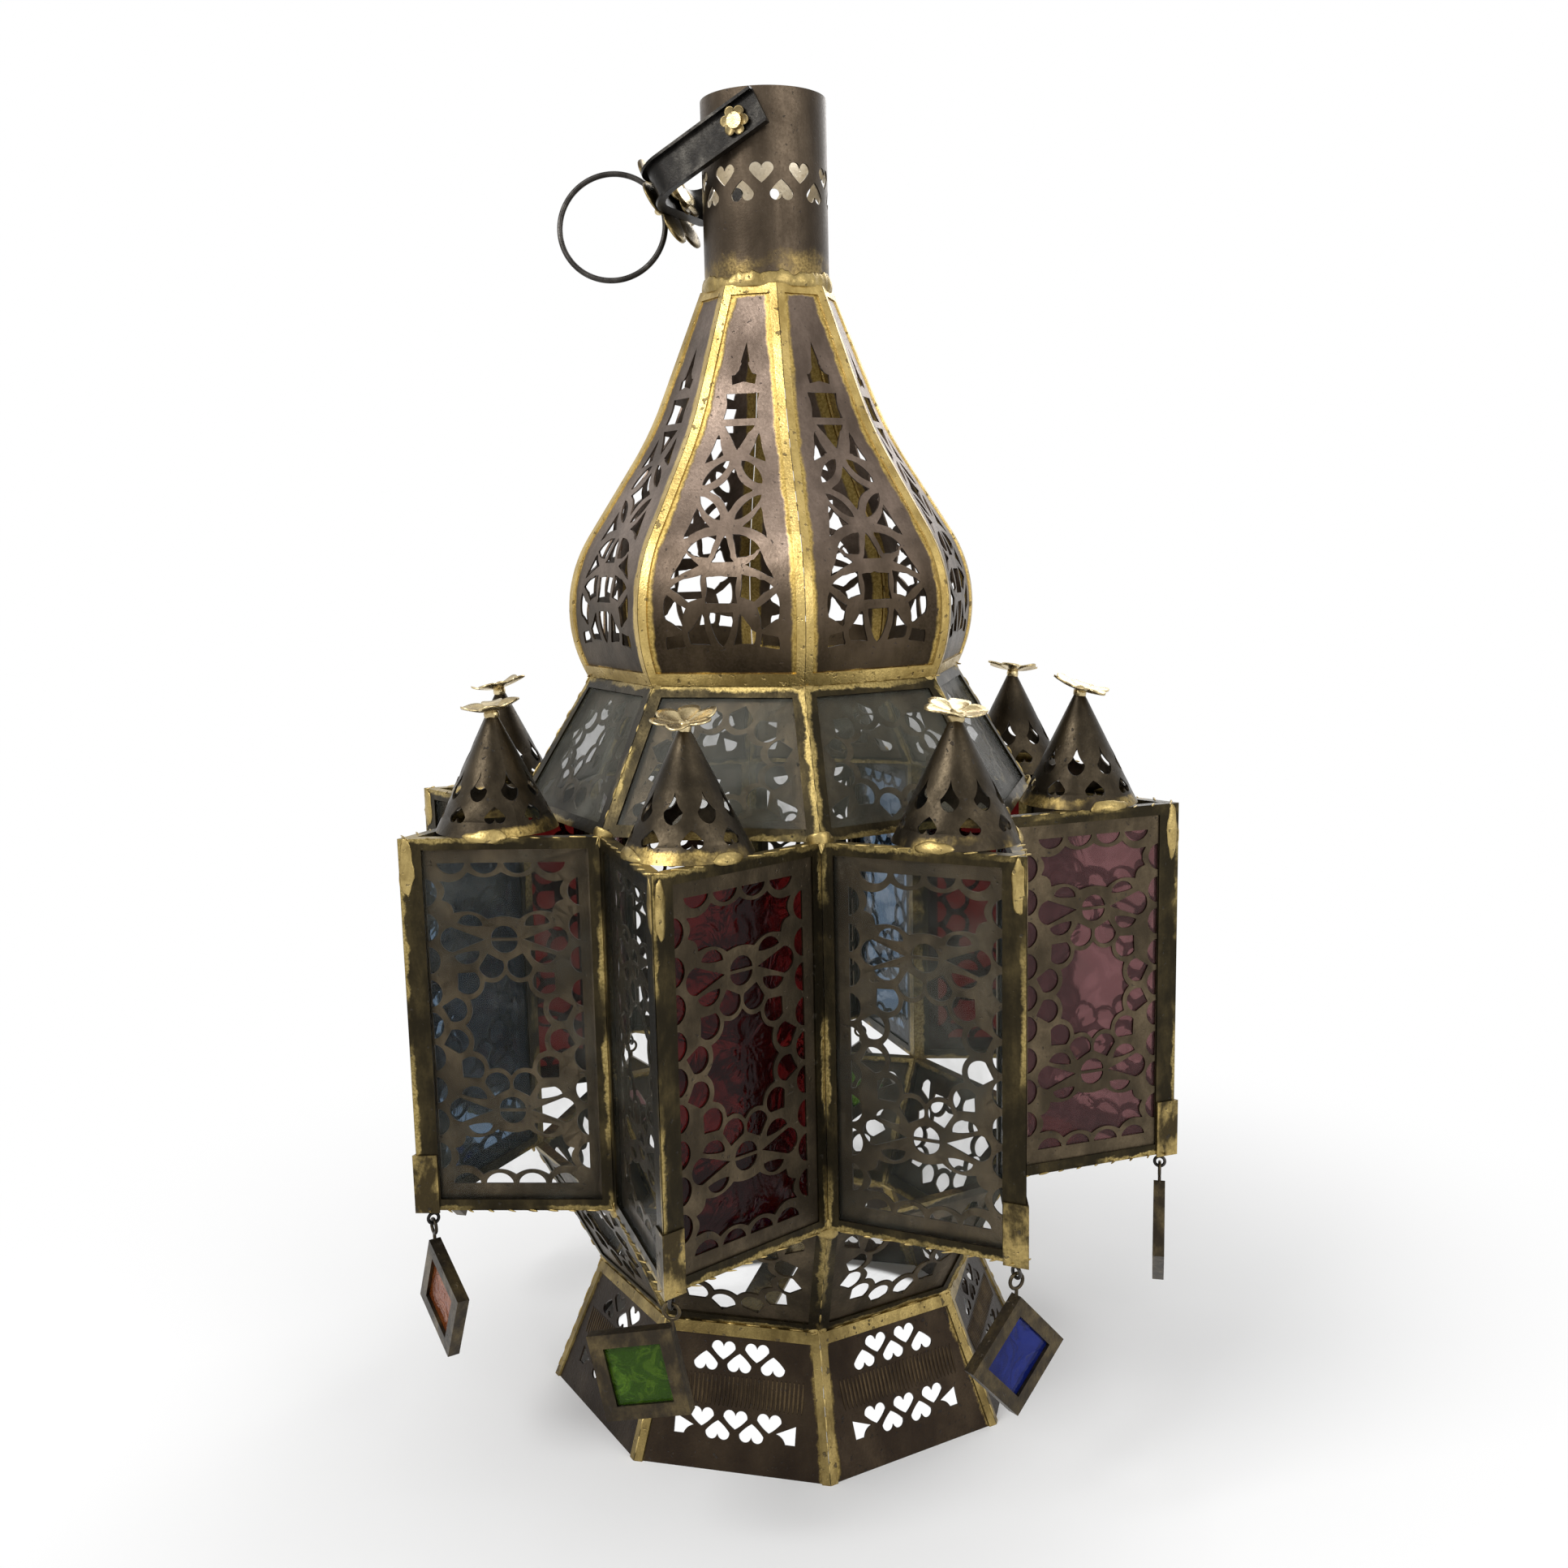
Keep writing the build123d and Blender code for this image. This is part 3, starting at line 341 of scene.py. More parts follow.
# Old window glass: see-through, with soft ripples and a film of dust
def oldGlass(name, look):
    material, start = newMaterial(name)
    place = start.node("ShaderNodeTexCoord", output="Object")
    film = place.noise(look["filmSize"], detail=5.0, rough=0.65, twist=0.6).step(*glassMix["filmBand"])
    swirl = place.noise(look["swirlSize"], detail=2.0, rough=0.5, twist=look["twist"])
    ripple = start.sum("SINE", swirl * look["rings"])
    colour = (film * look["film"]).blend(look["colour"], look["filmColour"])
    if "veins" in look:
        colour = (ripple.step(*glassMix["veinBand"]) * look["veins"]).blend(colour, look["veinColour"])
    height = swirl * glassRelief["swirl"] + ripple * glassRelief["ripple"] + film * glassRelief["film"]
    bump = start.node("ShaderNodeBump", None, {"Height": height, "Strength": look["bump"],
                                               "Distance": glassRelief["depth"]})
    inputs = {"Base Color": colour, "Roughness": look["rough"] + film * look["haze"], "Metallic": 0.0,
              "IOR": glassMix["bend"], "Transmission Weight": look["clear"], "Normal": bump}
    if "thin" in look:  # a thin pane that light goes straight through
        inputs["Alpha"] = look["thin"] + film * look["dust"]
    surface(start, inputs)
    return material


clearGlass = oldGlass("clearGlass", {
    "filmSize": 22.0, "film": 0.45, "swirlSize": 14.0, "twist": 0.5, "rings": 8.0, "bump": 0.015,
    "rough": 0.16, "haze": 0.10, "clear": 0.0, "thin": 0.06, "dust": 0.16, "colour": ink(0.080, 0.084, 0.072),
    "filmColour": ink(0.200, 0.200, 0.165)})
dustyGlass = oldGlass("dustyGlass", {
    "filmSize": 26.0, "film": 0.60, "swirlSize": 16.0, "twist": 0.6, "rings": 8.0, "bump": 0.03,
    "rough": 0.16, "haze": 0.10, "clear": 0.0, "thin": 0.24, "dust": 0.28, "colour": ink(0.100, 0.100, 0.080),
    "filmColour": ink(0.190, 0.185, 0.145)})
redGlass = oldGlass("redGlass", {
    "filmSize": 30.0, "film": 0.35, "swirlSize": 60.0, "twist": 1.5, "rings": 16.0, "bump": 0.45,
    "rough": 0.08, "haze": 0.12, "clear": 0.90, "colour": ink(0.050, 0.003, 0.003),
    "filmColour": ink(0.026, 0.006, 0.008), "veins": 0.35, "veinColour": ink(0.095, 0.007, 0.006)})
roseGlass = oldGlass("roseGlass", {
    "filmSize": 26.0, "film": 0.45, "swirlSize": 55.0, "twist": 1.6, "rings": 18.0, "bump": 0.45,
    "rough": 0.09, "haze": 0.12, "clear": 0.75, "colour": ink(0.180, 0.078, 0.080),
    "filmColour": ink(0.110, 0.070, 0.064), "veins": 0.45, "veinColour": ink(0.270, 0.125, 0.130)})
blueGlass = oldGlass("blueGlass", {
    "filmSize": 28.0, "film": 0.30, "swirlSize": 60.0, "twist": 1.5, "rings": 16.0, "bump": 0.45,
    "rough": 0.08, "haze": 0.12, "clear": 0.70, "colour": ink(0.012, 0.026, 0.230),
    "filmColour": ink(0.016, 0.026, 0.120), "veins": 0.35, "veinColour": ink(0.022, 0.046, 0.340)})
paleBlueGlass = oldGlass("paleBlueGlass", {
    "filmSize": 28.0, "film": 0.40, "swirlSize": 60.0, "twist": 1.5, "rings": 16.0, "bump": 0.40,
    "rough": 0.06, "haze": 0.12, "clear": 0.85, "colour": ink(0.110, 0.170, 0.250),
    "filmColour": ink(0.110, 0.125, 0.135), "veins": 0.30, "veinColour": ink(0.160, 0.230, 0.320)})
greenGlass = oldGlass("greenGlass", {
    "filmSize": 40.0, "film": 0.35, "swirlSize": 90.0, "twist": 1.8, "rings": 20.0, "bump": 0.5,
    "rough": 0.08, "haze": 0.12, "clear": 0.65, "colour": ink(0.052, 0.125, 0.010),
    "filmColour": ink(0.040, 0.075, 0.010), "veins": 0.50, "veinColour": ink(0.140, 0.270, 0.022)})
amberGlass = oldGlass("amberGlass", {
    "filmSize": 40.0, "film": 0.35, "swirlSize": 90.0, "twist": 1.8, "rings": 20.0, "bump": 0.5,
    "rough": 0.08, "haze": 0.12, "clear": 0.65, "colour": ink(0.260, 0.060, 0.010),
    "filmColour": ink(0.130, 0.036, 0.010), "veins": 0.40, "veinColour": ink(0.420, 0.130, 0.020)})
print("glass made")

glassOf = {"clear": clearGlass, "red": redGlass, "rose": roseGlass, "blue": blueGlass, "green": greenGlass,
           "amber": amberGlass}
pendantColours = ("green", "blue", "red", "amber", "green", "rose", "blue", "amber")


def materialOf(name):
    if name.startswith("pendant_glass"):
        return glassOf[pendantColours[int(name[-1]) - 1]]
    if name.startswith("star_glass"):
        return paleBlueGlass if name.endswith("blue") else glassOf[name.split("_")[-1]]
    if name in ("shoulder_glass", "wall_glass"):
        return dustyGlass if name == "shoulder_glass" else clearGlass
    if "grille" in name:
        return laceMetal
    if name.startswith("dome_panel"):
        return domeSheet
    if name.startswith("pendant_frame"):
        return pendantMetal
    if name in ("shoulder_frames", "wall_frames"):
        return tierBrass
    if name in ("hanging_ring", "pendant_hooks"):
        return darkWire
    return {"neck_tube": neckSheet, "turret_cones": turretSheet, "base_panels": baseSheet,
            "candle_bar": baseSheet, "dome_edging": ribBrass, "base_edging": footBrass,
            "star_frames": starBrass, "tip_caps": capBrass, "bail_strap": strapSteel}.get(name, petalBrass)


for name, node in nodes.items():
    node.data.materials.clear()
    node.data.materials.append(materialOf(name))
print("nodes dressed")


weldGap = 1e-6


# Joins points and faces to one piece whose faces point outwards
def makePiece(name, points, faces, material, body):
    mesh = bpy.data.meshes.new(name)
    mesh.from_pydata(points, [], faces)
    shape = bmesh.new()
    shape.from_mesh(mesh)
    bmesh.ops.remove_doubles(shape, verts=shape.verts, dist=weldGap)
    bmesh.ops.recalc_face_normals(shape, faces=shape.faces)
    shape.to_mesh(mesh)
    shape.free()
    mesh.polygons.foreach_set("use_smooth", [True] * len(mesh.polygons))
    mesh.materials.append(material)
    piece = addObject(name, mesh)
    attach(piece, body)
    return piece


def turned(side):
    return Matrix.Rotation(2 * math.pi * side / bodyLook["sides"], 4, "Z")


# Pierced sheets cut finer than the solids: the edges of a copy move into the metal, in metres
laceLook = {"crease": 0.5, "sheetArea": 0.0008, "shares": (1.0, 0.7, 0.4, 0.2, 0.0), "level": 0.97}
trims = {"dome_panel": 0.00075, "star_grille": 0.00048, "shoulder_grilles": 0.00045, "wall_grilles": 0.00045}


# The large smooth faces of a sheet, front and back, without the narrow walls of its holes
def sheetFaces(shape):
    found, seen = set(), set()
    for first in shape.faces:
        if first in seen:
            continue
        region, ahead = [], [first]
        seen.add(first)
        while ahead:
            face = ahead.pop()
            region.append(face)
            for edge in face.edges:
                if len(edge.link_faces) == 2 and edge.calc_face_angle() < laceLook["crease"]:
                    for other in edge.link_faces:
                        if other not in seen:
                            seen.add(other)
                            ahead.append(other)
        if sum(face.calc_area() for face in region) > laceLook["sheetArea"]:
            found.update(region)
    return found


# The copy keeps the solid's own shading, and takes the solid's place
def makeFinerLace(name, trim):
    shape = bmesh.new()
    shape.from_mesh(nodes[name].data)
    kept = shape.loops.layers.float_vector.new("shading")
    for face, polygon in zip(shape.faces, nodes[name].data.polygons):
        for loop, index in zip(face.loops, polygon.loop_indices):
            loop[kept] = nodes[name].data.corner_normals[index].vector
    bmesh.ops.remove_doubles(shape, verts=shape.verts, dist=weldGap)
    shape.normal_update()
    sheet = sheetFaces(shape)
    ways = {}
    for edge in shape.edges:
        faces = [face for face in edge.link_faces if face in sheet]
        if len(edge.link_faces) == 2 and len(faces) == 1:
            near, far = edge.verts
            way = faces[0].normal.cross(far.co - near.co).normalized()
            if way.dot(faces[0].calc_center_median() - near.co) < 0:
                way.negate()
            for corner in (near, far):
                ways.setdefault(corner, []).append(way)
    for corner, pushes in ways.items():
        rest, push = corner.co.copy(), sum(pushes, Vector()).normalized() * trim
        around = [face for face in corner.link_faces if face in sheet]
        for share in laceLook["shares"]:  # no further than keeps the sheet's triangles level
            corner.co = rest + push * share
            if all(geometry.normal([vert.co for vert in face.verts]).dot(face.normal) > laceLook["level"]
                   for face in around):
                break
    words = name.split("_")
    mesh = bpy.data.meshes.new(words[0] + words[1].capitalize() + "".join(words[2:]))
    shape.to_mesh(mesh)
    shape.free()
    mesh.polygons.foreach_set("use_smooth", [True] * len(mesh.polygons))
    mesh.normals_split_custom_set([tuple(item.vector) for item in mesh.attributes["shading"].data])
    mesh.attributes.remove(mesh.attributes["shading"])
    mesh.materials.append(materialOf(name))
    piece = addObject(mesh.name, mesh)
    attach(piece, "lantern")
    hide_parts(name)


for name in list(nodes):
    for stem, trim in trims.items():
        if name.startswith(stem):
            makeFinerLace(name, trim)
print("lace cut finer")

# Cut sheet flowers with petals bent by hand
flowerLook = {"petals": 6, "sheet": 0.0008, "rings": 7, "spokes": 72, "curl": 0.0007, "bulge": 1.05,
              "leans": (0.35, 1.25)}
turretFlowerLook = {"radius": 0.0126, "hole": 0.0, "lift": 0.0034, "lean": 0.22, "sway": 0.07, "spin": 1.0,
                    "away": 0.13452, "high": 0.3180, "raise": 0.0012, "stud": (0.0030, 0.0030, 0.0032),
                    "seed": 11}
bailLook = {"pivot": 0.556, "turn": -8.0, "droop": 27.0, "crown": 0.0500, "inside": 0.0460, "seed": 5}
crownFlowerLook = {"radius": 0.022, "hole": 0.00166, "lift": 0.0008}
innerFlowerLook = {"radius": 0.011, "hole": 0.00166, "lift": 0.0016}
pivotFlowerLook = {"radius": 0.0062, "hole": 0.00206, "lift": 0.0012, "face": 0.0293}


# A flower's outline, by the angle from the middle of a petal
def petalReach(off, half, radius):
    petal = radius * math.sin(half) / (1 + math.sin(half))
    reach = radius - petal
    bulge = max((flowerLook["bulge"] * petal) ** 2 - (reach * math.sin(off)) ** 2, 0)
    return reach * math.cos(off) + math.sqrt(bulge)


def addFlower(points, faces, place, look, chance):
    rings, spokes, petals = flowerLook["rings"], flowerLook["spokes"], flowerLook["petals"]
    half = math.pi / petals
    leans = [chance.uniform(*flowerLook["leans"]) for petal in range(petals)]
    middle = sum(leans) / petals
    start = len(points)
    for side in range(2):
        for ring in range(rings + 1):
            share = ring / rings
            for spoke in range(spokes):
                angle = 2 * math.pi * spoke / spokes
                petal = int((angle + half) / (2 * half)) % petals
                off = (angle + half) % (2 * half) - half
                radius = look["hole"] + (petalReach(off, half, look["radius"]) - look["hole"]) * share
                lean = middle + (leans[petal] - middle) * math.cos(off / half * math.pi / 2) ** 2
                high = look["lift"] * lean * (radius / look["radius"]) ** 2
                high += flowerLook["curl"] * share * (off / half) ** 2 + side * flowerLook["sheet"]
                points.append(place @ Vector((radius * math.cos(angle), radius * math.sin(angle), high)))
    sheet = (rings + 1) * spokes
    for spoke in range(spokes):
        after = (spoke + 1) % spokes
        for ring in range(rings):
            near, far = start + ring * spokes, start + (ring + 1) * spokes
            faces.append((near + spoke, far + spoke, far + after, near + after))
            over, beyond = near + sheet, far + sheet
            faces.append((over + spoke, over + after, beyond + after, beyond + spoke))
        for row in ((rings,) if look["hole"] == 0 else (0, rings)):
            rim = start + row * spokes
            faces.append((rim + spoke, rim + after, rim + after + sheet, rim + spoke + sheet))


# A flat lump of solder: a ball drawn out over the sheet, with a wandering edge
smearLook = {"round": 20, "up": 10, "waver": 0.35, "grain": 260.0, "lumps": 0.4, "fine": 2.3}


def addSmear(points, faces, spot, across, up, size, curl=None):
    out = across.cross(up)
    start = len(points)
    count, rows = smearLook["round"], smearLook["up"]
    for row in range(rows + 1):
        lift = math.pi * (row / rows - 0.5)
        for step in range(count):
            angle = 2 * math.pi * step / count
            flat = Vector((math.cos(lift) * math.cos(angle), math.cos(lift) * math.sin(angle)))
            rough = spot + across * flat.x * size[0] + up * flat.y * size[1]
            waver = 1 + smearLook["waver"] * noise.noise(rough * smearLook["grain"])
            wide, tall = flat.x * size[0] * waver, flat.y * size[1] * waver
            lumps = smearLook["lumps"] * noise.noise(rough * smearLook["grain"] * smearLook["fine"])
            high = math.sin(lift) * size[2] * (1 + lumps)
            high -= wide * wide / (2 * curl) if curl else 0
            points.append(spot + across * wide + up * tall + out * high)
    for row in range(rows):
        for step in range(count):
            after = (step + 1) % count
            low, top = start + row * count, start + (row + 1) * count
            faces.append((low + step, low + after, top + after, top + step))


def makeTurretFlowers(look):
    points, faces = [], []
    chance = random.Random(look["seed"])
    for side in range(bodyLook["sides"]):
        lean = Matrix.Rotation(look["lean"] + chance.uniform(-look["sway"], look["sway"]), 4, "X")
        spin = lean @ Matrix.Rotation(chance.uniform(0, look["spin"]), 4, "Z")
        place = turned(side) @ Matrix.Translation((0, -look["away"], look["high"] + look["raise"])) @ spin
        addFlower(points, faces, place, look, chance)
        centre = turned(side) @ Vector((0, -look["away"], look["high"]))
        addSmear(points, faces, centre, Vector((1, 0, 0)), Vector((0, 1, 0)), look["stud"])
    piece = makePiece("turretFlowers", points, faces, petalBrass, "lantern")
    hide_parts("turret_flowers")


# The bail's place at rest, and the way of its pivot
def bailPlace():
    turn, droop = math.radians(bailLook["turn"]), math.radians(bailLook["droop"])
    along = Vector((math.sin(turn), -math.cos(turn), 0))
    reach = Vector((-math.cos(turn) * math.cos(droop), -math.sin(turn) * math.cos(droop), -math.sin(droop)))
    axes = Matrix((along, reach.cross(along), reach)).transposed()
    return Matrix.Translation((0, 0, bailLook["pivot"])) @ axes.to_4x4(), along


def makeBailFlowers():
    place, along = bailPlace()
    chance = random.Random(bailLook["seed"])
    points, faces = [], []
    addFlower(points, faces, place @ Matrix.Translation((0, 0, bailLook["crown"])), crownFlowerLook, chance)
    over = Matrix.Translation((0, 0, bailLook["inside"])) @ Matrix.Rotation(math.pi, 4, "X")
    addFlower(points, faces, place @ over, innerFlowerLook, chance)
    piece = makePiece("bailFlowers", points, faces, bailBrass, "bail")
    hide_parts("bail_flowers")
    points, faces = [], []
    for way in (along, -along):
        face = Vector((0, 0, bailLook["pivot"])) + way * pivotFlowerLook["face"]
        turn = way.to_track_quat("Z", "Y").to_matrix().to_4x4()
        addFlower(points, faces, Matrix.Translation(face) @ turn, pivotFlowerLook, chance)
    piece = makePiece("pivotFlowers", points, faces, bailBrass, "lantern")
    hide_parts("bail_washers")


makeTurretFlowers(turretFlowerLook)
makeBailFlowers()
print("flowers bent")

# Ring of solder where the neck stands on the dome
collarLook = {"inside": 0.02695, "low": 0.4900, "height": 0.0068, "thick": 0.0013, "steps": 200,
              "profile": ((0.0, 0.0), (0.8, 0.12), (1.0, 0.4), (0.75, 0.72), (0.3, 0.94), (0.0, 1.0)),
              "tallWaves": ((0.45, 4.0), (0.2, 13.0)), "thickWave": (0.5, 9.0), "skinWave": (0.12, 20.0, 6)}


def makeCollar(look):
    points, faces = [], []
    thickDepth, thickSize = look["thickWave"]
    skinDepth, skinSize, skinRise = look["skinWave"]
    for step in range(look["steps"]):
        angle = 2 * math.pi * step / look["steps"]
        way = Vector((math.cos(angle), math.sin(angle), 0))
        tall = look["height"] * sum((depth * noise.noise(way * size) for depth, size in look["tallWaves"]), 1)
        thick = look["thick"] * (1 + thickDepth * noise.noise(way * thickSize))
        for outward, rise in look["profile"]:
            wave = skinDepth * noise.noise(way * skinSize + Vector((0, 0, rise * skinRise)))
            radius = look["inside"] + thick * outward * (1 + wave)
            points.append(way * radius + Vector((0, 0, look["low"] + tall * rise)))
    rows = len(look["profile"])
    for step in range(look["steps"]):
        near, far = step * rows, (step + 1) % look["steps"] * rows
        for row in range(rows):
            after = (row + 1) % rows
            faces.append((near + row, far + row, far + after, near + after))
    piece = makePiece("collarSolder", points, faces, solderBrass, "lantern")
    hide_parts("neck_collar")


makeCollar(collarLook)
print("collar soldered")

# Lumps of solder at the feet of the turrets, the star's tips and the corners of the tiers
turretSolder = {"away": 0.13452, "radius": 0.0251, "slope": 0.4925, "angles": (-58, 57), "sway": 7,
                "rise": (0.0006, 0.0018), "size": (0.0088, 0.0030, 0.0010), "spread": (0.75, 1.15)}
tipSolder = {"half": 33.59, "inset": 0.0034, "below": 0.0004, "size": (0.0030, 0.0115, 0.0007),
             "spread": (0.8, 1.15)}
cornerSolder = {"sunk": 0.0003, "curl": 0.006, "size": (0.0052, 0.0042, 0.0009), "spread": (0.7, 1.2),
                "tiers": (("domeFoot", "domeZ"), ("waist", "waistZ"), ("valley", "shoulderZ"),
                          ("valley", "starZ"))}
solderSeed = 23


def drawSize(look, chance):
    return [length * chance.uniform(*look["spread"]) for length in look["size"]]


def makeSolder():
    points, faces = [], []
    chance = random.Random(solderSeed)
    for side in range(bodyLook["sides"]):
        turn = turned(side)
        for angle in turretSolder["angles"]:
            bearing = math.radians(angle + chance.uniform(-turretSolder["sway"], turretSolder["sway"]))
            rise = chance.uniform(*turretSolder["rise"])
            radius = turretSolder["radius"] - rise * turretSolder["slope"]
            way = Vector((math.sin(bearing), -math.cos(bearing), 0))
            spot = Vector((0, -turretSolder["away"], bodyLook["shoulderZ"] + rise)) + way * radius
            across = Vector((-way.y, way.x, 0))
            up = (Vector((0, 0, 1)) - way * turretSolder["slope"]).normalized()
            size = drawSize(turretSolder, chance)
            addSmear(points, faces, turn @ spot, turn.to_3x3() @ across, turn.to_3x3() @ up, size, radius)
        half = math.radians(tipSolder["half"])
        for hand in (-1, 1):
            run = Vector((hand * math.sin(half), math.cos(half), 0))
            across = run * hand
            spot = Vector((0, -bodyLook["tip"], 0)) + run * tipSolder["inset"]
            size = drawSize(tipSolder, chance)
            spot.z = bodyLook["shoulderZ"] - size[1] - tipSolder["below"]
            addSmear(points, faces, turn @ spot, turn.to_3x3() @ across, Vector((0, 0, 1)), size)
        corner = math.pi / bodyLook["sides"]
        way = turn.to_3x3() @ Vector((math.sin(corner), -math.cos(corner), 0))
        upward = Vector((0, 0, 1))
        for radiusKey, heightKey in cornerSolder["tiers"]:
            spot = way * (bodyLook[radiusKey] - cornerSolder["sunk"]) + upward * bodyLook[heightKey]
            size = drawSize(cornerSolder, chance)
            addSmear(points, faces, spot, upward.cross(way), upward, size, cornerSolder["curl"])
    makePiece("solderLumps", points, faces, solderBrass, "lantern")


makeSolder()
print("joints soldered")


def newTree(name, kinds):
    tree = bpy.data.node_groups.new(name, "GeometryNodeTree")
    for key, kind in kinds.items():
        tree.interface.new_socket(name=key, in_out="INPUT", socket_type="NodeSocket" + kind)
    tree.interface.new_socket(name="Geometry", in_out="OUTPUT", socket_type="NodeSocketGeometry")
    return tree, Wire(tree)


# Realizes, smooths and dresses what the tree has made
def finishTree(start, made, material):
    real = start.node("GeometryNodeRealizeInstances", None, {0: made})
    smooth = start.node("GeometryNodeSetShadeSmooth", None, {0: real})
    dressed = start.node("GeometryNodeSetMaterial", None, {"Geometry": smooth, "Material": material})
    start.node("NodeGroupOutput", None, {"Geometry": dressed})


# Turns the modifier's result into the piece's own mesh
def settle(piece, tree, values):
    modifier = piece.modifiers.new(piece.name, "NODES")
    modifier.node_group = tree
    for item in tree.interface.items_tree:
        if item.in_out == "INPUT" and item.name in values:
            modifier[item.identifier] = values[item.name]
    graph = bpy.context.evaluated_depsgraph_get()
    solid = bpy.data.meshes.new_from_object(piece.evaluated_get(graph))
    piece.modifiers.clear()
    piece.data = solid
    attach(piece, "lantern")
    print(piece.name, len(solid.polygons), "faces")


# Beads of solder along the seams; the ends of the base's seam are given by radius and height
beadLook = {"Spacing": 0.0085, "Bead Radius": 0.00055, "Wander": 0.00015, "Seed": 4}
beadSizes = {"least": (0.5, 0.5, 3.0), "most": (1.1, 1.1, 7.5)}
baseSeam = {"low": (0.1097, 0.006), "top": (0.0892, 0.054)}


# The seams of one side of the body
def seamLines():
    corner = math.pi / bodyLook["sides"]
    way = Vector((math.sin(corner), -math.cos(corner), 0))
    ahead = Matrix.Rotation(-2 * corner, 3, "Z") @ way

    def on(direction, radius, height):
        return direction * radius + Vector((0, 0, height))

    tip = Vector((0, -bodyLook["tip"], 0))
    dome = bodyLook["domeFoot"], bodyLook["domeZ"]
    waist = bodyLook["waist"], bodyLook["waistZ"]
    lines = [[on(way, *baseSeam["low"]), on(way, *baseSeam["top"])],
             [on(way, bodyLook["valley"], bodyLook["shoulderZ"]), on(way, *dome)],
             [on(way, bodyLook["valley"], bodyLook["starZ"]), on(way, *waist)],
             [on(ahead, *dome), on(way, *dome)],
             [on(ahead, *waist), on(way, *waist)]]
    for height in (bodyLook["starZ"], bodyLook["shoulderZ"]):
        lines.append([on(ahead, bodyLook["valley"], height), tip + Vector((0, 0, height)),
                      on(way, bodyLook["valley"], height)])
    return lines


def beadTree():
    tree, start = newTree("seamBeads", {"Geometry": "Geometry", "Spacing": "Float", "Bead Radius": "Float",
                                        "Wander": "Float", "Seed": "Int", "Material": "Material"})
    given = start.node("NodeGroupInput")
    lines = start.node("GeometryNodeMeshToCurve", None, {0: given.part("Geometry")})
    spots = start.node("GeometryNodeCurveToPoints", {"mode": "LENGTH"},
                       {"Curve": lines, "Length": given.part("Spacing")})
    shift = start.node("FunctionNodeRandomValue", {"data_type": "FLOAT_VECTOR"},
                       {0: (-1, -1, -1), 1: (1, 1, 1), "Seed": given.part("Seed")})
    offset = start.node("ShaderNodeVectorMath", {"operation": "SCALE"},
                        {0: shift, "Scale": given.part("Wander")})
    moved = start.node("GeometryNodeSetPosition", None, {"Geometry": spots, "Offset": offset})
    bead = start.node("GeometryNodeMeshUVSphere", None,
                      {"Segments": 8, "Rings": 5, "Radius": given.part("Bead Radius")})
    sizes = start.node("FunctionNodeRandomValue", {"data_type": "FLOAT_VECTOR"},
                       {0: beadSizes["least"], 1: beadSizes["most"], "Seed": given.part("Seed")})
    along = spots.part("Rotation")
    beads = start.node("GeometryNodeInstanceOnPoints", None,
                       {"Points": moved, "Instance": bead, "Rotation": along, "Scale": sizes})
    finishTree(start, beads, given.part("Material"))
    return tree


def makeSeamBeads(look):
    points, edges = [], []
    for side in range(bodyLook["sides"]):
        for line in seamLines():
            first = len(points)
            points += [turned(side) @ spot for spot in line]
            edges += [(index, index + 1) for index in range(first, len(points) - 1)]
    mesh = bpy.data.meshes.new("seamBeads")
    mesh.from_pydata(points, edges, [])
    piece = addObject("seamBeads", mesh)
    settle(piece, beadTree(), {**look, "Material": solderBrass})


makeSeamBeads(beadLook)

# Fluted band pressed across each base panel, between its rows of hearts
fluteLook = {"Count": 31, "Pitch": 0.0019, "Length": 0.0130, "Width": 0.0013, "Proud": 0.0005, "Tilt": 21.53,
             "Along": 0.0320, "Foot": 0.10301}


def fluteTree():
    tree, start = newTree("fluteBand", {"Geometry": "Geometry", "Count": "Int", "Pitch": "Float",
                                        "Size": "Vector", "Place": "Vector", "Tilt": "Float",
                                        "Material": "Material"})
    given = start.node("NodeGroupInput")
    pitch = given.part("Pitch")
    first = start.node("ShaderNodeCombineXYZ", None, {"X": (1.0 - given.part("Count")) * pitch * 0.5})
    gap = start.node("ShaderNodeCombineXYZ", None, {"X": pitch})
    row = start.node("GeometryNodeMeshLine", None, {"Count": given.part("Count"), "Start Location": first,
                                                    "Offset": gap})
    rib = start.node("GeometryNodeMeshUVSphere", None, {"Segments": 8, "Rings": 6, "Radius": 1.0})
    lean = start.node("ShaderNodeCombineXYZ", None, {"X": given.part("Tilt")})
    ribs = start.node("GeometryNodeInstanceOnPoints", None,
                      {"Points": row, "Instance": rib, "Rotation": lean, "Scale": given.part("Size")})
    band = start.node("GeometryNodeTransform", None, {"Geometry": ribs, "Translation": given.part("Place")})
    spots = start.node("GeometryNodePoints", None, {"Count": bodyLook["sides"]})
    spin = start.node("GeometryNodeInputIndex") * (2 * math.pi / bodyLook["sides"])
    turns = start.node("ShaderNodeCombineXYZ", None, {"Z": spin})
    bands = start.node("GeometryNodeInstanceOnPoints", None,
                       {"Points": spots, "Instance": band, "Rotation": turns})
    finishTree(start, bands, given.part("Material"))
    return tree


def makeFlutes(look):
    piece = addObject("baseFlutes", bpy.data.meshes.new("baseFlutes"))
    tilt = math.radians(look["Tilt"])
    spot = (0, look["Along"] * math.sin(tilt) - look["Foot"], look["Along"] * math.cos(tilt))
    size = (look["Width"] / 2, look["Proud"], look["Length"] / 2)
    settle(piece, fluteTree(), {"Count": look["Count"], "Pitch": look["Pitch"], "Size": size, "Place": spot,
                                "Tilt": -tilt, "Material": fluteSheet})


makeFlutes(fluteLook)


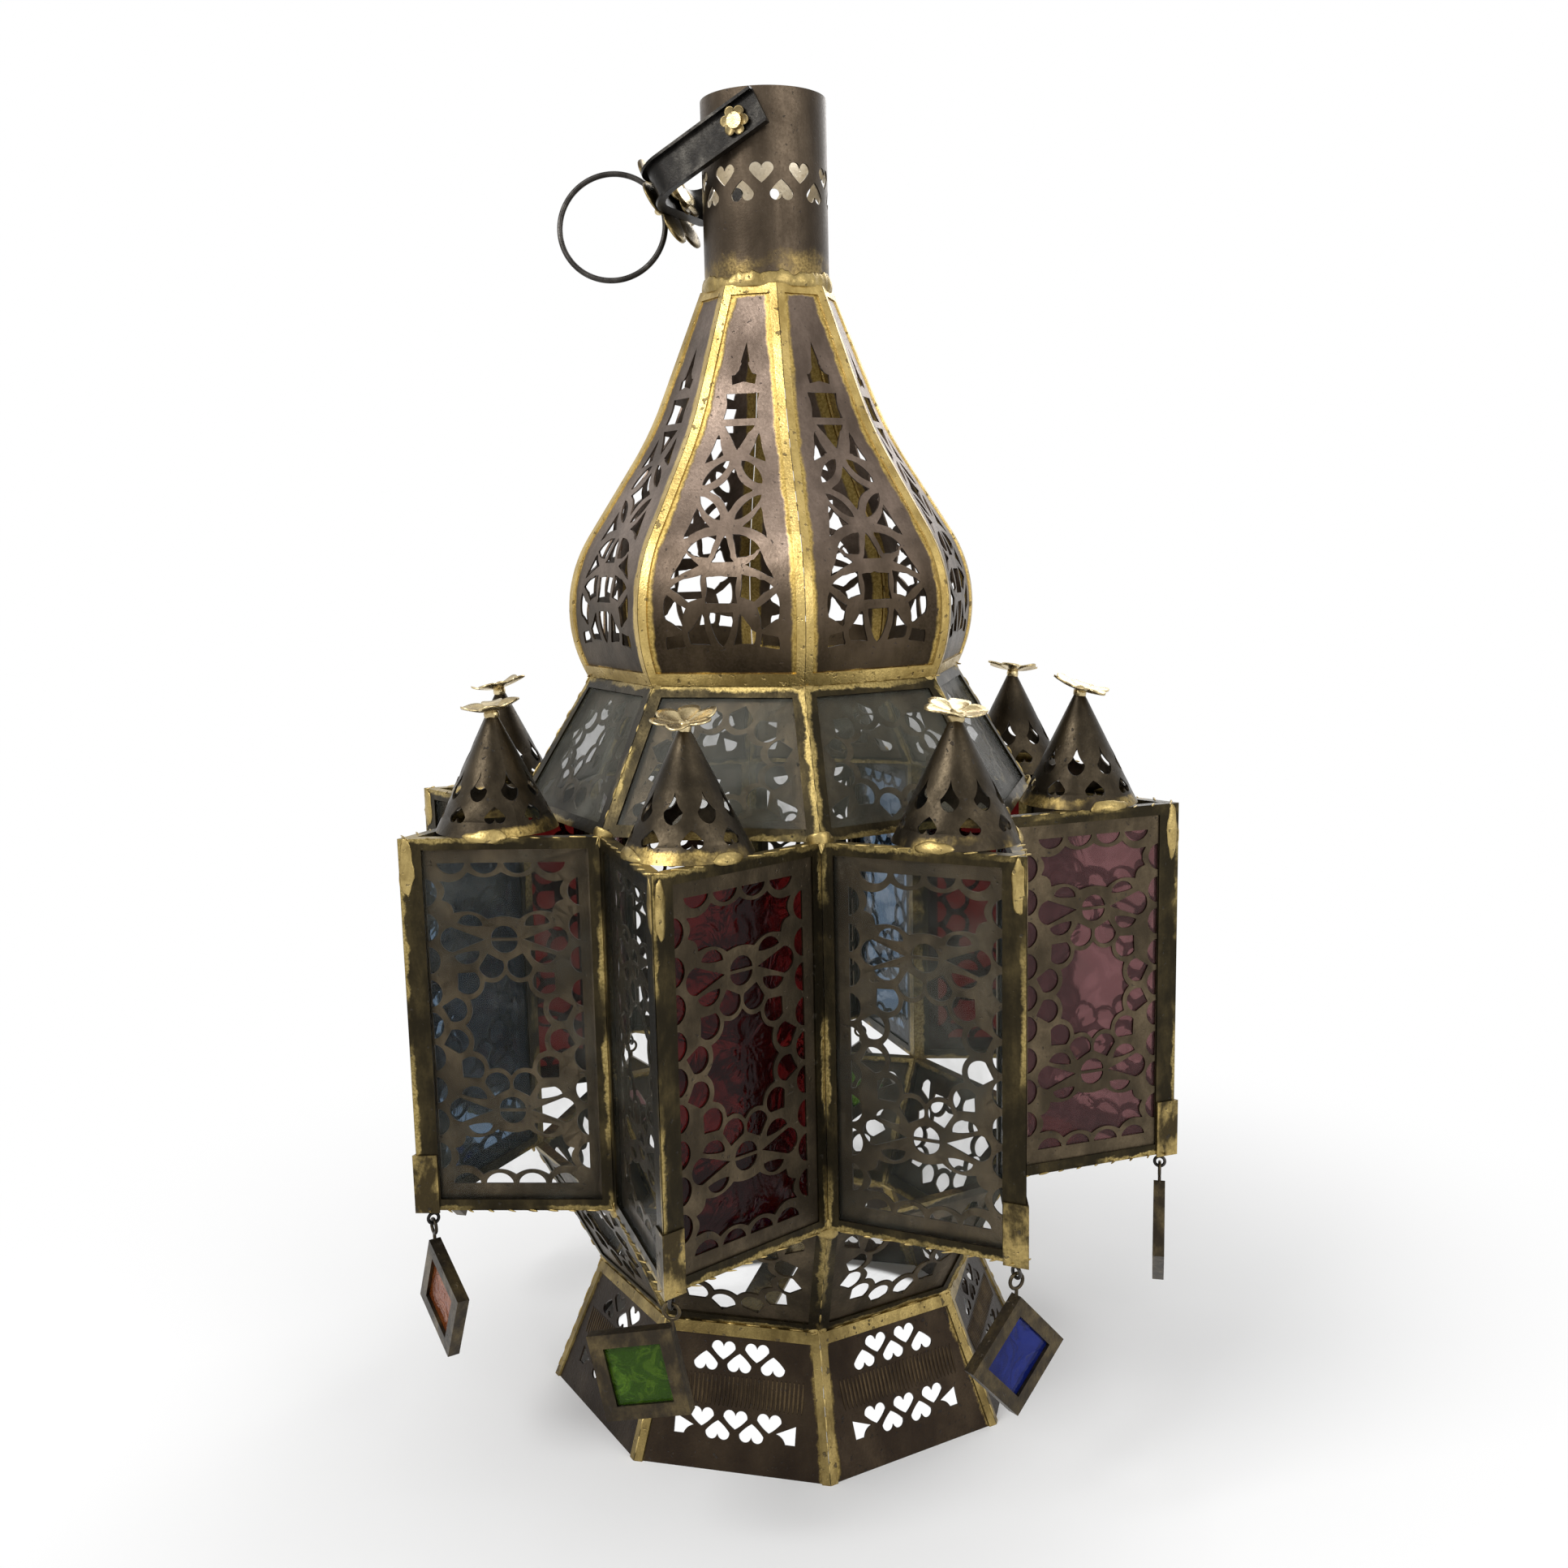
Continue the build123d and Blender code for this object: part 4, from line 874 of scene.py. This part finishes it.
# One for the rays that show the background: seen straight, mirrored or through glass
def directRays(start):
    path = start.node("ShaderNodeLightPath")
    straight, mirrored = path.part("Is Camera Ray"), path.part("Is Glossy Ray")
    return start.sum("ADD", straight + mirrored, path.part("Is Transmission Ray"), True)


# Floor that keeps the shadow near the lantern and turns plain white further out; inside its base it is
# painted plain white, painted light over the lantern's shade there
floorLook = {"reach": 14.0, "segments": 96, "near": 0.17, "far": 0.52, "inside": 0.092, "soft": 0.006,
             "colour": ink(0.90, 0.90, 0.90)}
worldLook = {"level": 0.55}
lampLook = {
    "key": {"spot": (-1.1, -1.5, 1.7), "size": 1.3, "power": 34.0},
    "fill": {"spot": (1.6, -1.1, 0.9), "size": 1.4, "power": 13.0},
    "rear": {"spot": (0.4, 1.7, 1.5), "size": 1.4, "power": 16.0},
}
lampAim = (0, 0, 0.28)


def makeFloor(look):
    mesh = bpy.data.meshes.new("floor")
    shape = bmesh.new()
    bmesh.ops.create_circle(shape, cap_ends=True, radius=look["reach"], segments=look["segments"])
    shape.to_mesh(mesh)
    shape.free()
    floor = addObject("floor", mesh)
    material, start = newMaterial("paleFloor")
    place = start.node("ShaderNodeTexCoord", output="Object")
    away = start.node("ShaderNodeVectorMath", {"operation": "LENGTH"}, {0: place}, 1)
    lit = start.node("ShaderNodeBsdfDiffuse", None, {"Color": look["colour"]})
    white = start.node("ShaderNodeEmission", None, {"Color": ink(1, 1, 1), "Strength": 1.0})
    # painted light: the floor inside the base glows white where the lantern's shade falls
    paintedLightUnderBase = 1.0 - away.step(look["inside"], look["inside"] + look["soft"])
    plain = away.step(look["near"], look["far"]) + paintedLightUnderBase
    mixed = start.node("ShaderNodeMixShader", None, {0: plain * directRays(start), 1: lit, 2: white})
    start.node("ShaderNodeOutputMaterial", None, {"Surface": mixed})
    mesh.materials.append(material)


def makeWorld(look):
    world = bpy.data.worlds.new("studio")
    world.use_nodes = True
    tree = world.node_tree
    tree.nodes.clear()
    start = Wire(tree)
    strength = look["level"] + directRays(start) * (1.0 - look["level"])
    light = start.node("ShaderNodeBackground", None, {"Color": ink(1, 1, 1), "Strength": strength})
    start.node("ShaderNodeOutputWorld", None, {"Surface": light})
    scene.world = world


def makeLamps(look):
    for name, lamp in look.items():
        data = bpy.data.lights.new(name, "AREA")
        data.shape = "DISK"
        data.size = lamp["size"]
        data.energy = lamp["power"]
        spot = Vector(lamp["spot"])
        light = addObject(name, data)
        light.rotation_euler = (spot - Vector(lampAim)).to_track_quat("Z", "Y").to_euler()
        light.location = spot


makeFloor(floorLook)
makeWorld(worldLook)
makeLamps(lampLook)
print("studio set")
